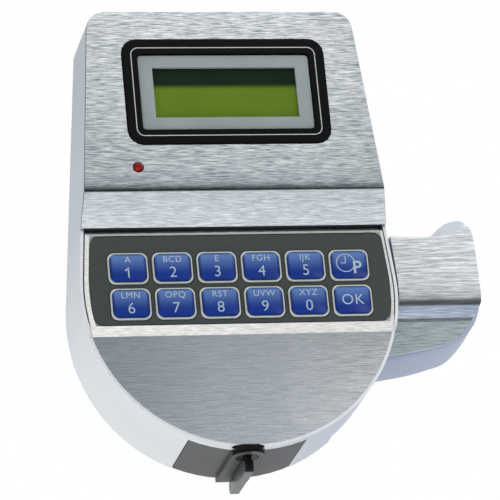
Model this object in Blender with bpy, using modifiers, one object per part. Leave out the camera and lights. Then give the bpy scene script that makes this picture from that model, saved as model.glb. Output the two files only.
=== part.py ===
"""Entry unit of an electronic safe lock, as fixed to the outside of a safe's door.

Metres, +Z up. The door's face is the plane Y = 0 and the fronts look towards -Y.
The origin is on that plane, at about half the housing's height. Two frames share one
point, where the spindle's axis meets the door: the door frame stands upright, and the
front frame leans back with the display and the keypad.
"""

import math

import bmesh
import bpy
from mathutils import Matrix, Vector

MM = 0.001

# Clearances and cuts
FIT = 0.3 * MM
OVERRUN = 6.0 * MM
WELD = 0.001 * MM

# Facets of arcs, and of turned pieces
ARC_STEPS = 20
CORNER_STEPS = 4
TURN_STEPS = 24
SMALL_TURN_STEPS = 16

# Keypad's field, which sets the housing's width and the heights of its faces
KEY_WIDTH = 13.0 * MM
KEY_HEIGHT = 10.5 * MM
KEY_GAP_X = 1.5 * MM
KEY_GAP_Z = 1.55 * MM
KEY_COLUMNS = 6
KEY_ROWS = 2
KEY_ROW_Z = 7.7 * MM
KEY_PITCH_X = KEY_WIDTH + KEY_GAP_X
KEY_PITCH_Z = KEY_HEIGHT + KEY_GAP_Z
KEYPAD_SIDE = 9.25 * MM
KEYPAD_HEAD = 7.25 * MM
KEYPAD_FOOT = 1.9 * MM

# Lower cover, of sheet: keypad plateau, sloping band, lower face
COVER_SHEET = 1.8 * MM
COVER_GAP = 0.4 * MM
COVER_TOP_Z = KEY_ROW_Z + KEY_HEIGHT / 2 + KEYPAD_HEAD
COVER_CHAMFER = 1.2 * MM
BAND_HEIGHT = 2.6 * MM
BAND_TOP_Z = KEY_ROW_Z - (KEY_ROWS - 1) * KEY_PITCH_Z - KEY_HEIGHT / 2 - KEYPAD_FOOT
BAND_BOTTOM_Z = BAND_TOP_Z - BAND_HEIGHT
RIM_SET_BACK = 0.2 * MM

# Display hood, of sheet
HOOD_SHEET = 1.2 * MM
HOOD_GAP = 1.5 * MM
HOOD_SLOPE_HEIGHT = 10.7 * MM
HOOD_BOTTOM_Z = COVER_TOP_Z + HOOD_GAP
HOOD_BEND_Z = HOOD_BOTTOM_Z + HOOD_SLOPE_HEIGHT
HOOD_BEND_RADIUS = 3.0 * MM
HOOD_LIP_DEPTH = 2.6 * MM
RIM_DEPTH = 4.0 * MM
RIM_THICKNESS = 1.5 * MM
RIM_BOTTOM_Z = HOOD_BEND_Z + 2 * HOOD_BEND_RADIUS
UPSTAND_LAP = 3.8 * MM
COVER_UPSTAND_TOP_Z = HOOD_BOTTOM_Z + UPSTAND_LAP

# Display: black frame, clear lens, grey mask, liquid crystal cell, boards
BEZEL_WIDTH = 66.8 * MM
BEZEL_HEIGHT = 36.4 * MM
BEZEL_CORNER = 4.8 * MM
BEZEL_PROUD = 0.3 * MM
BEZEL_THICKNESS = 2.6 * MM
BEZEL_BORDER_X = 4.8 * MM
BEZEL_BORDER_Z = 5.0 * MM
BEZEL_OPENING_WIDTH = BEZEL_WIDTH - 2 * BEZEL_BORDER_X
BEZEL_OPENING_HEIGHT = BEZEL_HEIGHT - 2 * BEZEL_BORDER_Z
BEZEL_OPENING_CORNER = 1.4 * MM
BEZEL_FOOT = 15.7 * MM
BEZEL_HEAD = 10.0 * MM
DISPLAY_Z = HOOD_BEND_Z + BEZEL_FOOT + BEZEL_HEIGHT / 2
LENS_THICKNESS = 0.5 * MM
MASK_THICKNESS = 1.2 * MM
MASK_BORDER_X = 4.8 * MM
MASK_BORDER_Z = 4.4 * MM
WINDOW_WIDTH = BEZEL_OPENING_WIDTH - 2 * MASK_BORDER_X
WINDOW_HEIGHT = BEZEL_OPENING_HEIGHT - 2 * MASK_BORDER_Z
CELL_BORDER = 2.4 * MM
CELL_WIDTH = WINDOW_WIDTH + 2 * CELL_BORDER
CELL_HEIGHT = WINDOW_HEIGHT + 2 * CELL_BORDER
CELL_THICKNESS = 2.0 * MM
LCD_BOARD_EDGE = 0.4 * MM
LCD_BOARD_WIDTH = BEZEL_WIDTH - 2 * LCD_BOARD_EDGE
LCD_BOARD_HEIGHT = BEZEL_HEIGHT - 2 * LCD_BOARD_EDGE

# Housing: a semicircle below, sides that lean in towards a flat top
FRONT_TILT = math.radians(6.2)
WALL_RADIUS = (KEY_COLUMNS * KEY_PITCH_X - KEY_GAP_X) / 2 + KEYPAD_SIDE
SIDE_TAPER = math.radians(5.1)
BODY_TOP = DISPLAY_Z + BEZEL_HEIGHT / 2 + BEZEL_HEAD
TOP_CORNER = 6.0 * MM
WALL = 1.0 * MM
AXIS_Z = -(BODY_TOP - WALL_RADIUS) / 2

# Battery, its tray and its snap connector
BATTERY_LENGTH = 46.0 * MM
BATTERY_HEIGHT = 26.0 * MM
BATTERY_DEPTH = 17.0 * MM
BATTERY_X = 1.5 * MM
BATTERY_BEVEL = 1.5 * MM
TERMINAL_RADIUS = 2.9 * MM
TERMINAL_LENGTH = 2.5 * MM
TERMINAL_SPACING = 12.7 * MM
CLIP_THICKNESS = 2.5 * MM
CLIP_MARGIN = 2.0 * MM
TRAY_FLOOR = 1.0 * MM
TRAY_WALL = 1.0 * MM
TRAY_DEPTH = 9.0 * MM
TRAY_HUB_GAP = 0.6 * MM

# Depths of the front's faces, square to them, at the height of the spindle
BATTERY_ROOM = 11.0 * MM
PLATEAU_STEP = 2.5 * MM
DISPLAY_STEP = 6.0 * MM
LOWER_DEPTH = BATTERY_DEPTH + BATTERY_ROOM
PLATEAU_DEPTH = LOWER_DEPTH + PLATEAU_STEP
DISPLAY_DEPTH = PLATEAU_DEPTH + DISPLAY_STEP

# Keypad's layers
KEY_CORNER = 2.2 * MM
KEY_PROUD = 0.5 * MM
KEY_THICKNESS = 2.1 * MM
KEY_TRAVEL = 0.5 * MM
PANEL_THICKNESS = 0.6 * MM
PANEL_CORNER = 2.6 * MM
MAT_THICKNESS = 1.0 * MM
MAT_BORDER = 1.6 * MM
BOARD = 1.6 * MM

# Circuit boards and what joins them
HEADER_LENGTH = 38.0 * MM
HEADER_HEIGHT = 2.5 * MM
HEADER_DEPTH = 2.5 * MM
MAIN_BOARD_INSET = 6.3 * MM
MAIN_BOARD_HEAD = 6.5 * MM
MAIN_BOARD_FOOT = 4.5 * MM
MAIN_BOARD_TOP = BODY_TOP - MAIN_BOARD_HEAD
MAIN_BOARD_BOTTOM = COVER_UPSTAND_TOP_Z + MAIN_BOARD_FOOT
SOUNDER_RADIUS = 6.0 * MM
SOUNDER_HEIGHT = 6.0 * MM
SOUNDER_X = 22.0 * MM
SOUNDER_DROP = 20.0 * MM
SOUNDER_Z = MAIN_BOARD_TOP - SOUNDER_DROP
CABLE_WIDTH = 8.0 * MM
CABLE_THICKNESS = 0.4 * MM
CABLE_X = 32.0 * MM
CABLE_LAP = 5.0 * MM

# Status lamp
LED_X = -31.2 * MM
LED_RISE = 7.8 * MM
LED_Z = HOOD_BEND_Z + LED_RISE
LED_RADIUS = 1.5 * MM
LED_FLANGE_RADIUS = 1.9 * MM
LED_FLANGE = 1.0 * MM
LED_PROUD = 1.5 * MM
LED_LEG_RADIUS = 0.25 * MM
LED_LEG_SPACING = 2.0 * MM
LED_BODY = 5.0 * MM

# Standoffs and board screws
STANDOFF_RADIUS = 2.5 * MM
STANDOFF_EDGE = 4.0 * MM
STANDOFF_GAP = 1.0 * MM
BOARD_SCREW_RADIUS = 1.1 * MM
BOARD_SCREW_HEAD_RADIUS = 2.5 * MM
BOARD_SCREW_HEAD = 1.6 * MM
BOARD_SCREW_LENGTH = 6.0 * MM

# Base plate, on the door
BASE = 1.5 * MM
BASE_GAP = 0.5 * MM
BASE_HOLE_RADIUS = 2.6 * MM
BASE_HOLE_INSET = 22.0 * MM
BASE_HOLE_DROP = 24.5 * MM
BASE_HOLE_X = WALL_RADIUS - BASE_HOLE_INSET
BASE_HOLE_TOP_Z = BODY_TOP - BASE_HOLE_DROP
BASE_HOLE_BOTTOM_Z = -WALL_RADIUS / 2
CABLE_HOLE_RADIUS = 6.0 * MM
CABLE_HOLE_X = -26.0 * MM
CABLE_HOLE_Z = -4.0 * MM

# Spindle, its bush, washer and ring
SPINDLE_SQUARE = 8.0 * MM
SPINDLE_LENGTH = 30.0 * MM
JOURNAL_MARGIN = 0.34 * MM
JOURNAL_RADIUS = SPINDLE_SQUARE / math.sqrt(2) + JOURNAL_MARGIN
BUSH_WALL = 1.7 * MM
BUSH_LAP = 2.0 * MM
BUSH_FLANGE_RADIUS = JOURNAL_RADIUS + FIT + BUSH_WALL + BUSH_LAP
BUSH_FLANGE = 0.8 * MM
WASHER_THICKNESS = 0.4 * MM
RING_THICKNESS = 1.0 * MM
RING_GRIP = 0.6 * MM
RING_WIDTH = 3.4 * MM
RING_INNER_RADIUS = SPINDLE_SQUARE / 2 + RING_GRIP
RING_OUTER_RADIUS = RING_INNER_RADIUS + RING_WIDTH
RING_MOUTH = math.radians(70.0)
SPINDLE_NOSE = 1.2 * MM

# Swing lever at the right, and the arm that turns the spindle
LEVER_RANGE = math.radians(40.0)
LEVER_GAP = 0.7 * MM
LEVER_REACH = 27.4 * MM
LEVER_RISE = 24.2 * MM
LEVER_DROP = 18.0 * MM
LEVER_UPPER_DEPTH = 28.0 * MM
LEVER_LOWER_DEPTH = 24.0 * MM
LEVER_LOBE_DEPTH = 20.0 * MM
LEVER_DOOR_GAP = 0.5 * MM
LEVER_BAND_TOP_Z = -1.4 * MM
LEVER_BAND_BOTTOM_Z = -6.1 * MM
LEVER_SKIN = 1.0 * MM
ARM = 2.8 * MM
ARM_HALF_WIDTH = 7.0 * MM
ARM_CORNER = 3.0 * MM
ARM_END = 3.9 * MM
HUB_WALL = 6.4 * MM
HUB_RADIUS = JOURNAL_RADIUS + HUB_WALL
LEVER_SCREW_INSET = 5.8 * MM
LEVER_SCREW_SPACING = 7.6 * MM
LEVER_SCREW_X = WALL_RADIUS + LEVER_GAP + LEVER_SCREW_INSET
ARM_REACH = LEVER_SCREW_X + LEVER_SCREW_SPACING + ARM_END
LEVER_SCREW_RADIUS = 1.9 * MM
LEVER_SCREW_HEAD_RADIUS = 3.4 * MM
LEVER_SCREW_HEAD = 1.8 * MM
LEVER_SCREW_LENGTH = 13.0 * MM

# Outline of the lever: shares of its reach from the inner side, and of its rise or drop
LEVER_CURVE_STEPS = 4
LEVER_FRONT_SHARES = (
    (0.00, 0.865), (0.22, 0.845), (0.45, 0.845), (0.65, 0.872), (0.78, 0.92), (0.86, 0.985),
    (0.91, 0.985), (0.96, 0.84), (0.985, 0.42), (1.00, 0.00), (0.96, -0.22), (0.88, -0.42),
    (0.77, -0.635), (0.64, -0.775), (0.39, -0.89), (0.00, -0.995),
)
LEVER_LOBE_SHARES = (
    (0.00, 0.865), (0.22, 0.85), (0.42, 0.86), (0.56, 0.95), (0.66, 1.05), (0.76, 1.12),
    (0.91, 1.145), (0.99, 1.02), (1.04, 0.55), (1.05, 0.00), (1.01, -0.27), (0.93, -0.48),
    (0.81, -0.67), (0.66, -0.82), (0.39, -0.94), (0.00, -1.06),
)
LEVER_BACK_SHARES = (
    (0.00, 0.865), (0.22, 0.85), (0.44, 0.87), (0.59, 0.98), (0.68, 1.07), (0.79, 1.14),
    (0.95, 1.17), (1.04, 1.04), (1.10, 0.55), (1.12, 0.00), (1.06, -0.38), (0.90, -0.70),
    (0.76, -0.89), (0.61, -0.98), (0.35, -1.10), (0.00, -1.20),
)

# Insert in the bottom wall, its raised plate and the key lock
LOCK_X = -1.0 * MM
LOCK_DEPTH = 7.0 * MM
LOCK_Y = LOCK_DEPTH - LOWER_DEPTH
INSERT_HALF_WIDTH = 19.0 * MM
INSERT_DEPTH = 4.0 * MM
INSERT_FRONT_Y = INSERT_DEPTH - LOWER_DEPTH
INSERT_SET_BACK = 0.1 * MM
LOBE_DEPTH = 0.4 * MM
LOBE_FRONT_Y = LOBE_DEPTH - LOWER_DEPTH
PLATE_HALF_WIDTH = 5.3 * MM
LOBE_HALF_WIDTH = PLATE_HALF_WIDTH + FIT
PLATE_LENGTH = 32.2 * MM
NOTCH_WALL = 0.8 * MM
PLATE_PROUD = 1.3 * MM
PLUG_RADIUS = 3.4 * MM
CYLINDER_WALL = 1.1 * MM
CYLINDER_RADIUS = PLUG_RADIUS + FIT + CYLINDER_WALL
SPIGOT_SQUARE = 3.2 * MM
CYLINDER_GROOVE = 0.8 * MM
CYLINDER_CLIP = 1.0 * MM
CYLINDER_CLIP_RISE = 1.2 * MM
CYLINDER_CLIP_SIDE = 4.2 * MM
CYLINDER_CLIP_BACK = 5.2 * MM
CAM = 1.5 * MM
CAM_LENGTH = 12.4 * MM
CAM_HALF_WIDTH = 3.0 * MM
CAM_SCREW_RADIUS = 0.9 * MM
CAM_SCREW_HEAD_RADIUS = 2.6 * MM
CAM_SCREW_HEAD = 1.4 * MM
CAM_SCREW_LENGTH = 6.0 * MM
PLUG_WEB = 1.0 * MM
LATCH = 1.5 * MM
LATCH_HEIGHT = 5.0 * MM
LATCH_LIP = 7.0 * MM

# Key
BOW_THICKNESS = 2.8 * MM
BOW_LENGTH = 25.9 * MM
BOW_HEIGHT = 4.3 * MM
BOW_CORNER = 1.6 * MM
BOW_FRONT = 1.9 * MM
BOW_GAP = 0.7 * MM
BLADE_THICKNESS = 1.6 * MM
BLADE_HEIGHT = 4.2 * MM
BLADE_LENGTH = 14.0 * MM

# Key names, row by row from the left
KEY_NAMES = ("key_1", "key_2", "key_3", "key_4", "key_5", "key_clock",
             "key_6", "key_7", "key_8", "key_9", "key_0", "key_ok")

# Colours as red, green and blue shares, then roughness and metallic value
FINISHES = {
    "brushed_steel": ((0.60, 0.62, 0.62), 0.35, 1.0),
    "satin_silver": ((0.66, 0.69, 0.72), 0.45, 0.6),
    "plated_steel": ((0.55, 0.56, 0.56), 0.40, 1.0),
    "brass": ((0.66, 0.48, 0.22), 0.35, 1.0),
    "black_gloss": ((0.010, 0.010, 0.012), 0.15, 0.0),
    "clear_lens": ((0.80, 0.85, 0.85), 0.05, 0.0),
    "grey_mask": ((0.42, 0.46, 0.47), 0.50, 0.0),
    "lcd_green": ((0.15, 0.24, 0.02), 0.20, 0.0),
    "board_green": ((0.02, 0.14, 0.05), 0.50, 0.0),
    "panel_grey": ((0.045, 0.050, 0.048), 0.50, 0.0),
    "key_blue": ((0.010, 0.035, 0.32), 0.30, 0.0),
    "rubber_grey": ((0.20, 0.20, 0.20), 0.80, 0.0),
    "insert_grey": ((0.10, 0.11, 0.11), 0.55, 0.0),
    "lamp_red": ((0.55, 0.02, 0.02), 0.20, 0.0),
    "black_plastic": ((0.020, 0.020, 0.020), 0.50, 0.0),
    "battery_case": ((0.05, 0.05, 0.06), 0.40, 0.3),
}


# Scene, frames and materials

def clear_scene():
    for item in list(bpy.data.objects):
        bpy.data.objects.remove(item, do_unlink=True)


def new_collection(name):
    made = bpy.data.collections.new(name)
    bpy.context.scene.collection.children.link(made)
    return made


def new_frame(name, place, tilt, parent=None):
    frame = bpy.data.objects.new(name, None)
    PARTS.objects.link(frame)
    frame.location = place
    frame.rotation_euler = (-tilt, 0, 0)
    frame.parent = parent
    return frame


def finish(name):
    if name in bpy.data.materials:
        return bpy.data.materials[name]
    colour, roughness, metallic = FINISHES[name]
    made = bpy.data.materials.new(name)
    made.use_nodes = True
    shader = made.node_tree.nodes["Principled BSDF"]
    shader.inputs["Base Color"].default_value = (*colour, 1)
    shader.inputs["Roughness"].default_value = roughness
    shader.inputs["Metallic"].default_value = metallic
    return made


# Outlines, as lists of pairs

def arc(centre, radius, start, stop, steps):
    turn = (stop - start) / steps
    return [(centre[0] + radius * math.cos(start + turn * i),
             centre[1] + radius * math.sin(start + turn * i)) for i in range(steps + 1)]


def rounded(points, radii, closed=True):
    """Rounds the corners of an outline or a path, with one radius or one for each point."""
    if not isinstance(radii, (list, tuple)):
        radii = [radii] * len(points)
    made = []
    last = len(points) - 1
    for i, point in enumerate(points):
        if not radii[i] or (not closed and i in (0, last)):
            made.append(point)
            continue
        corner = Vector(point)
        back = (Vector(points[i - 1]) - corner).normalized()
        ahead = (Vector(points[(i + 1) % len(points)]) - corner).normalized()
        half = back.angle(ahead) / 2
        centre = corner + (back + ahead).normalized() * radii[i] / math.sin(half)
        first = corner + back * radii[i] / math.tan(half) - centre
        second = corner + ahead * radii[i] / math.tan(half) - centre
        start = math.atan2(first.y, first.x)
        turn = math.atan2(first.cross(second), first.dot(second))
        made += arc(centre, radii[i], start, start + turn, CORNER_STEPS)
    return made


def offset_path(points, distance):
    """Moves an open path to its left by a distance, with mitred corners."""
    normals = []
    for first, second in zip(points, points[1:]):
        run = (Vector(second) - Vector(first)).normalized()
        normals.append(Vector((-run.y, run.x)))
    made = []
    for i, point in enumerate(points):
        before = normals[max(i - 1, 0)]
        after = normals[min(i, len(normals) - 1)]
        mitre = (before + after).normalized()
        made.append(tuple(Vector(point) + mitre * distance / mitre.dot(after)))
    return made


def sheet(path, thickness):
    return path + offset_path(path, thickness)[::-1]


def box_outline(width, height, centre=(0, 0), corner=0):
    points = [(centre[0] + sx * width / 2, centre[1] + sy * height / 2)
              for sx, sy in ((-1, -1), (1, -1), (1, 1), (-1, 1))]
    return rounded(points, corner) if corner else points


def circle(radius, centre=(0, 0), steps=TURN_STEPS):
    return arc(centre, radius, 0, math.tau, steps)[:-1]


def side_x(z, inset):
    """Half the housing's width at a height, inset from the wall's outer face."""
    radius = WALL_RADIUS - inset
    if z < radius * math.sin(SIDE_TAPER):
        return math.sqrt(radius ** 2 - z ** 2)
    return (radius - z * math.sin(SIDE_TAPER)) / math.cos(SIDE_TAPER)


def housing_half(inset):
    """Right half of the housing's outline, from the lowest point to the top's corner."""
    corner = max(TOP_CORNER - inset, WALL)
    centre_z = BODY_TOP - inset - corner
    centre_x = side_x(centre_z, inset + corner)
    below = arc((0, 0), WALL_RADIUS - inset, -math.pi / 2, SIDE_TAPER, ARC_STEPS)
    return below + arc((centre_x, centre_z), corner, SIDE_TAPER, math.pi / 2, CORNER_STEPS)


def housing_outline(inset):
    half = housing_half(inset)
    return half + [(-x, z) for x, z in half[:0:-1]]


def housing_rim(inset, thickness, bottom):
    """The band of the housing's outline above a height, open below."""
    made = []
    for band_inset, order in ((inset, 1), (inset + thickness, -1)):
        above = [(x, z) for x, z in housing_half(band_inset) if z > bottom]
        right = [(side_x(bottom, band_inset), bottom)] + above
        run = right + [(-x, z) for x, z in right[::-1]]
        made += run[::order]
    return made


# Solids

def mesh_object(name, mesh, frame, collection, finish_name):
    made = bpy.data.objects.new(name, mesh)
    collection.objects.link(made)
    made.parent = frame
    if finish_name:
        mesh.materials.append(finish(finish_name))
    else:
        made.hide_render = True
        made.display_type = "WIRE"
    return made


def tidy_mesh(mesh, matrix):
    """Welds and places a mesh, turns its faces outwards and shades its round faces smooth."""
    work = bmesh.new()
    work.from_mesh(mesh)
    bmesh.ops.remove_doubles(work, verts=work.verts, dist=WELD)
    work.transform(matrix)
    bmesh.ops.recalc_face_normals(work, faces=work.faces)
    if work.calc_volume(signed=True) < 0:
        bmesh.ops.reverse_faces(work, faces=work.faces)
    work.to_mesh(mesh)
    work.free()
    mesh.shade_smooth()
    mesh.set_sharp_from_angle(angle=math.radians(35.0))


def view_matrix(view):
    """Turns a flat drawing's own axes into those of the view that it is drawn in."""
    if view == "front":
        return Matrix(((1, 0, 0, 0), (0, 0, -1, 0), (0, 1, 0, 0), (0, 0, 0, 1)))
    if view == "side":
        return Matrix(((0, 0, 1, 0), (1, 0, 0, 0), (0, 1, 0, 0), (0, 0, 0, 1)))
    return Matrix.Identity(4)


def evaluated_mesh(source):
    bpy.context.view_layer.update()
    graph = bpy.context.evaluated_depsgraph_get()
    return bpy.data.meshes.new_from_object(source.evaluated_get(graph))


def plate(name, outlines, low, high, view, frame, finish_name=None):
    """A flat outline, with any holes after it, between two levels along the view's depth."""
    curve = bpy.data.curves.new(name, "CURVE")
    curve.dimensions = "2D"
    curve.fill_mode = "BOTH"
    curve.extrude = (high - low) / 2
    for outline in outlines:
        spline = curve.splines.new("POLY")
        spline.points.add(len(outline) - 1)
        for point, (u, v) in zip(spline.points, outline):
            point.co = (u, v, 0, 1)
        spline.use_cyclic_u = True
    drawing = bpy.data.objects.new(name + "_drawing", curve)
    PARTS.objects.link(drawing)
    mesh = evaluated_mesh(drawing)
    bpy.data.objects.remove(drawing, do_unlink=True)
    middle = (high + low) / 2
    shift = {"front": (0, middle, 0), "side": (middle, 0, 0), "plan": (0, 0, middle)}[view]
    tidy_mesh(mesh, Matrix.Translation(shift) @ view_matrix(view))
    mesh.name = name
    collection = PARTS if finish_name else CUTTERS
    return mesh_object(name, mesh, frame, collection, finish_name)


def turned(name, profile, view, centre, frame, finish_name=None, steps=TURN_STEPS, closed=False):
    """A profile of (radius, level) pairs turned about an axis along the view's depth."""
    mesh = bpy.data.meshes.new(name)
    edges = [(i, i + 1) for i in range(len(profile) - 1)]
    if closed:
        edges.append((len(profile) - 1, 0))
    mesh.from_pydata([(radius, 0, level) for radius, level in profile], edges, [])
    lathe = bpy.data.objects.new(name + "_lathe", mesh)
    PARTS.objects.link(lathe)
    screw = lathe.modifiers.new("Screw", "SCREW")
    screw.steps = steps
    screw.render_steps = steps
    screw.use_merge_vertices = True
    screw.merge_threshold = WELD
    made = evaluated_mesh(lathe)
    bpy.data.objects.remove(lathe, do_unlink=True)
    bpy.data.meshes.remove(mesh)
    flip = Matrix.Scale(-1, 4, (0, 0, 1)) if view == "front" else Matrix.Identity(4)
    tidy_mesh(made, Matrix.Translation(centre) @ view_matrix(view) @ flip)
    made.name = name
    collection = PARTS if finish_name else CUTTERS
    return mesh_object(name, made, frame, collection, finish_name)


def loft(name, rings, view, frame, finish_name=None):
    """A solid through outlines of as many points each, given as (outline, level) pairs."""
    work = bmesh.new()
    loops = []
    for outline, level in rings:
        loops.append([work.verts.new((u, v, level)) for u, v in outline])
    count = len(loops[0])
    for lower, upper in zip(loops, loops[1:]):
        for i in range(count):
            j = (i + 1) % count
            work.faces.new((lower[i], lower[j], upper[j], upper[i]))
    work.faces.new(loops[0])
    work.faces.new(loops[-1])
    mesh = bpy.data.meshes.new(name)
    work.to_mesh(mesh)
    work.free()
    flip = Matrix.Scale(-1, 4, (0, 0, 1)) if view == "front" else Matrix.Identity(4)
    tidy_mesh(mesh, view_matrix(view) @ flip)
    collection = PARTS if finish_name else CUTTERS
    return mesh_object(name, mesh, frame, collection, finish_name)


def combine(target, other, operation):
    step = target.modifiers.new(operation.title(), "BOOLEAN")
    step.operation = operation
    step.solver = "EXACT"
    step.object = other
    return target


def cut(target, *cutters):
    for cutter in cutters:
        combine(target, cutter, "DIFFERENCE")
    return target


def join(target, *others):
    for other in others:
        combine(target, other, "UNION")
    return target


def set_origin(piece, place):
    """Puts a piece's origin at a place in its frame and leaves its faces where they are."""
    piece.data.transform(Matrix.Translation(-Vector(place)))
    piece.location = place
    return piece


def door_cutter(name, level):
    """Takes away what lies behind a level that is parallel to the door."""
    reach = BODY_TOP + OVERRUN
    outline = box_outline(2 * reach, 2 * reach)
    return plate(name, [outline], level, level + 2 * WALL_RADIUS, "front", DOOR)


def front_y(door_y, z):
    """The level in the front frame that meets a level of the door frame at a height."""
    return (door_y - z * math.sin(FRONT_TILT)) / math.cos(FRONT_TILT)


# Housing

def hood_path():
    points = [(-DISPLAY_DEPTH, BODY_TOP + OVERRUN), (-DISPLAY_DEPTH, HOOD_BEND_Z),
              (-PLATEAU_DEPTH, HOOD_BOTTOM_Z)]
    return rounded(points, HOOD_BEND_RADIUS, closed=False)


def hood_lip_front():
    return -PLATEAU_DEPTH + HOOD_SHEET / 4


def cover_path():
    """Section of the lower cover, which turns up behind the hood's lip."""
    upstand = hood_lip_front() + HOOD_LIP_DEPTH + FIT
    return [(upstand, COVER_UPSTAND_TOP_Z), (upstand, COVER_TOP_Z),
            (-PLATEAU_DEPTH + COVER_CHAMFER, COVER_TOP_Z),
            (-PLATEAU_DEPTH, COVER_TOP_Z - COVER_CHAMFER),
            (-PLATEAU_DEPTH, BAND_TOP_Z), (-LOWER_DEPTH, BAND_BOTTOM_Z),
            (-LOWER_DEPTH, -WALL_RADIUS - OVERRUN)]


def wall_front_path():
    """Front edge of the side wall: behind the hood, then just below the lower cover."""
    hood = offset_path(hood_path(), HOOD_SHEET + FIT)
    rim_top = HOOD_BOTTOM_Z - FIT
    plateau = -PLATEAU_DEPTH + RIM_SET_BACK
    lower = -LOWER_DEPTH + RIM_SET_BACK
    return hood + [(hood[-1][0], rim_top), (plateau, rim_top), (plateau, BAND_TOP_Z),
                   (lower, BAND_BOTTOM_Z), (lower, -WALL_RADIUS - OVERRUN)]


def insert_plan(grow):
    """Plan of the bottom insert, with a round lobe at the front for the key lock."""
    half = INSERT_HALF_WIDTH + grow
    front = INSERT_FRONT_Y - grow
    centre = (LOCK_X, LOBE_FRONT_Y + LOBE_HALF_WIDTH)
    radius = LOBE_HALF_WIDTH + grow
    meet = math.asin((front - centre[1]) / radius)
    back = front_y(0, -WALL_RADIUS) + OVERRUN
    lobe = arc(centre, radius, -math.pi - meet, meet, 4 * CORNER_STEPS)
    return ([(LOCK_X - half, front)] + lobe
            + [(LOCK_X + half, front), (LOCK_X + half, back), (LOCK_X - half, back)])


def notch_mouth():
    """Opens the round notch of the wall's front rim, whose ends keep some thickness."""
    centre_y = LOBE_FRONT_Y + LOBE_HALF_WIDTH
    deep = -LOWER_DEPTH + NOTCH_WALL
    half = math.sqrt((LOBE_HALF_WIDTH + FIT) ** 2 - (deep - centre_y) ** 2)
    return [(LOCK_X - half, centre_y), (LOCK_X - half, LOBE_FRONT_Y - OVERRUN),
            (LOCK_X + half, LOBE_FRONT_Y - OVERRUN), (LOCK_X + half, centre_y)]


def make_side_shell():
    shell = plate("side_shell", [housing_outline(0), housing_outline(WALL)],
                  -DISPLAY_DEPTH, WALL_RADIUS, "front", FRONT, "satin_silver")
    path = wall_front_path()
    far = -DISPLAY_DEPTH - OVERRUN
    ahead = [(far, path[-1][1]), (far, path[0][1])] + path
    width = WALL_RADIUS + OVERRUN
    front = plate("cut_shell_front", [ahead], -width, width, "side", FRONT)
    back = door_cutter("cut_shell_back", 0)
    notch = plate("cut_shell_insert", [insert_plan(FIT)], -WALL_RADIUS - OVERRUN,
                  -WALL_RADIUS / 2, "plan", FRONT)
    mouth = plate("cut_shell_mouth", [notch_mouth()], -WALL_RADIUS - OVERRUN,
                  -WALL_RADIUS / 2, "plan", FRONT)
    return cut(shell, front, back, notch, mouth, make_arm_slot())


def make_arm_slot():
    """Clears the lever's arm along its swing, through the wall's back edge."""
    margin = math.asin((ARM_HALF_WIDTH + FIT) / (WALL_RADIUS - OVERRUN)) + SIDE_TAPER / 2
    start = -LEVER_RANGE - margin
    outer = arc((0, 0), WALL_RADIUS + OVERRUN, start, margin, ARC_STEPS)
    inner = arc((0, 0), WALL_RADIUS - OVERRUN, start, margin, ARC_STEPS)
    return plate("cut_arm_slot", [outer + inner[::-1]], arm_front() - FIT, WALL_RADIUS,
                 "front", DOOR)


def make_display_hood():
    width = WALL_RADIUS + OVERRUN
    hood = plate("display_hood", [sheet(hood_path(), HOOD_SHEET)], -width, width, "side",
                 FRONT, "brushed_steel")
    trim = plate("cut_hood_outline", [housing_outline(0)], -DISPLAY_DEPTH - OVERRUN, 0,
                 "front", FRONT)
    combine(hood, trim, "INTERSECT")
    seat = -DISPLAY_DEPTH + HOOD_SHEET
    rim = plate("join_hood_rim", [housing_rim(WALL + FIT, RIM_THICKNESS, RIM_BOTTOM_Z)],
                seat - HOOD_SHEET / 2, seat + RIM_DEPTH, "front", FRONT)
    half = side_x(HOOD_BOTTOM_Z + HOOD_SHEET, WALL + FIT)
    lip_front = hood_lip_front()
    lip = [(lip_front, HOOD_BOTTOM_Z), (lip_front + HOOD_LIP_DEPTH, HOOD_BOTTOM_Z),
           (lip_front + HOOD_LIP_DEPTH, HOOD_BOTTOM_Z + HOOD_SHEET),
           (lip_front, HOOD_BOTTOM_Z + HOOD_SHEET)]
    lip_piece = plate("join_hood_lip", [lip], -half, half, "side", FRONT)
    join(hood, rim, lip_piece)
    window = box_outline(BEZEL_WIDTH + 2 * FIT, BEZEL_HEIGHT + 2 * FIT, (0, DISPLAY_Z),
                         BEZEL_CORNER + FIT)
    opening = plate("cut_hood_window", [window], -DISPLAY_DEPTH - OVERRUN, seat + FIT,
                    "front", FRONT)
    lamp = plate("cut_hood_lamp", [circle(LED_RADIUS + FIT, (LED_X, LED_Z), SMALL_TURN_STEPS)],
                 -DISPLAY_DEPTH - OVERRUN, seat + FIT, "front", FRONT)
    return cut(hood, opening, lamp)


def panel_outline(grow):
    """Outline of the keypad panel, which follows the housing's sides."""
    inset = WALL + COVER_GAP + COVER_CHAMFER + FIT - grow
    top = COVER_TOP_Z - COVER_CHAMFER - FIT + grow
    bottom = BAND_TOP_Z + FIT - grow
    heights = (bottom, bottom / 2, WALL_RADIUS * math.sin(SIDE_TAPER), top)
    right = [(side_x(z, inset), z) for z in heights]
    left = [(-x, z) for x, z in right[::-1]]
    corner = PANEL_CORNER + grow
    return rounded(right + left, [corner, 0, 0, corner, corner, 0, 0, corner])


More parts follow.
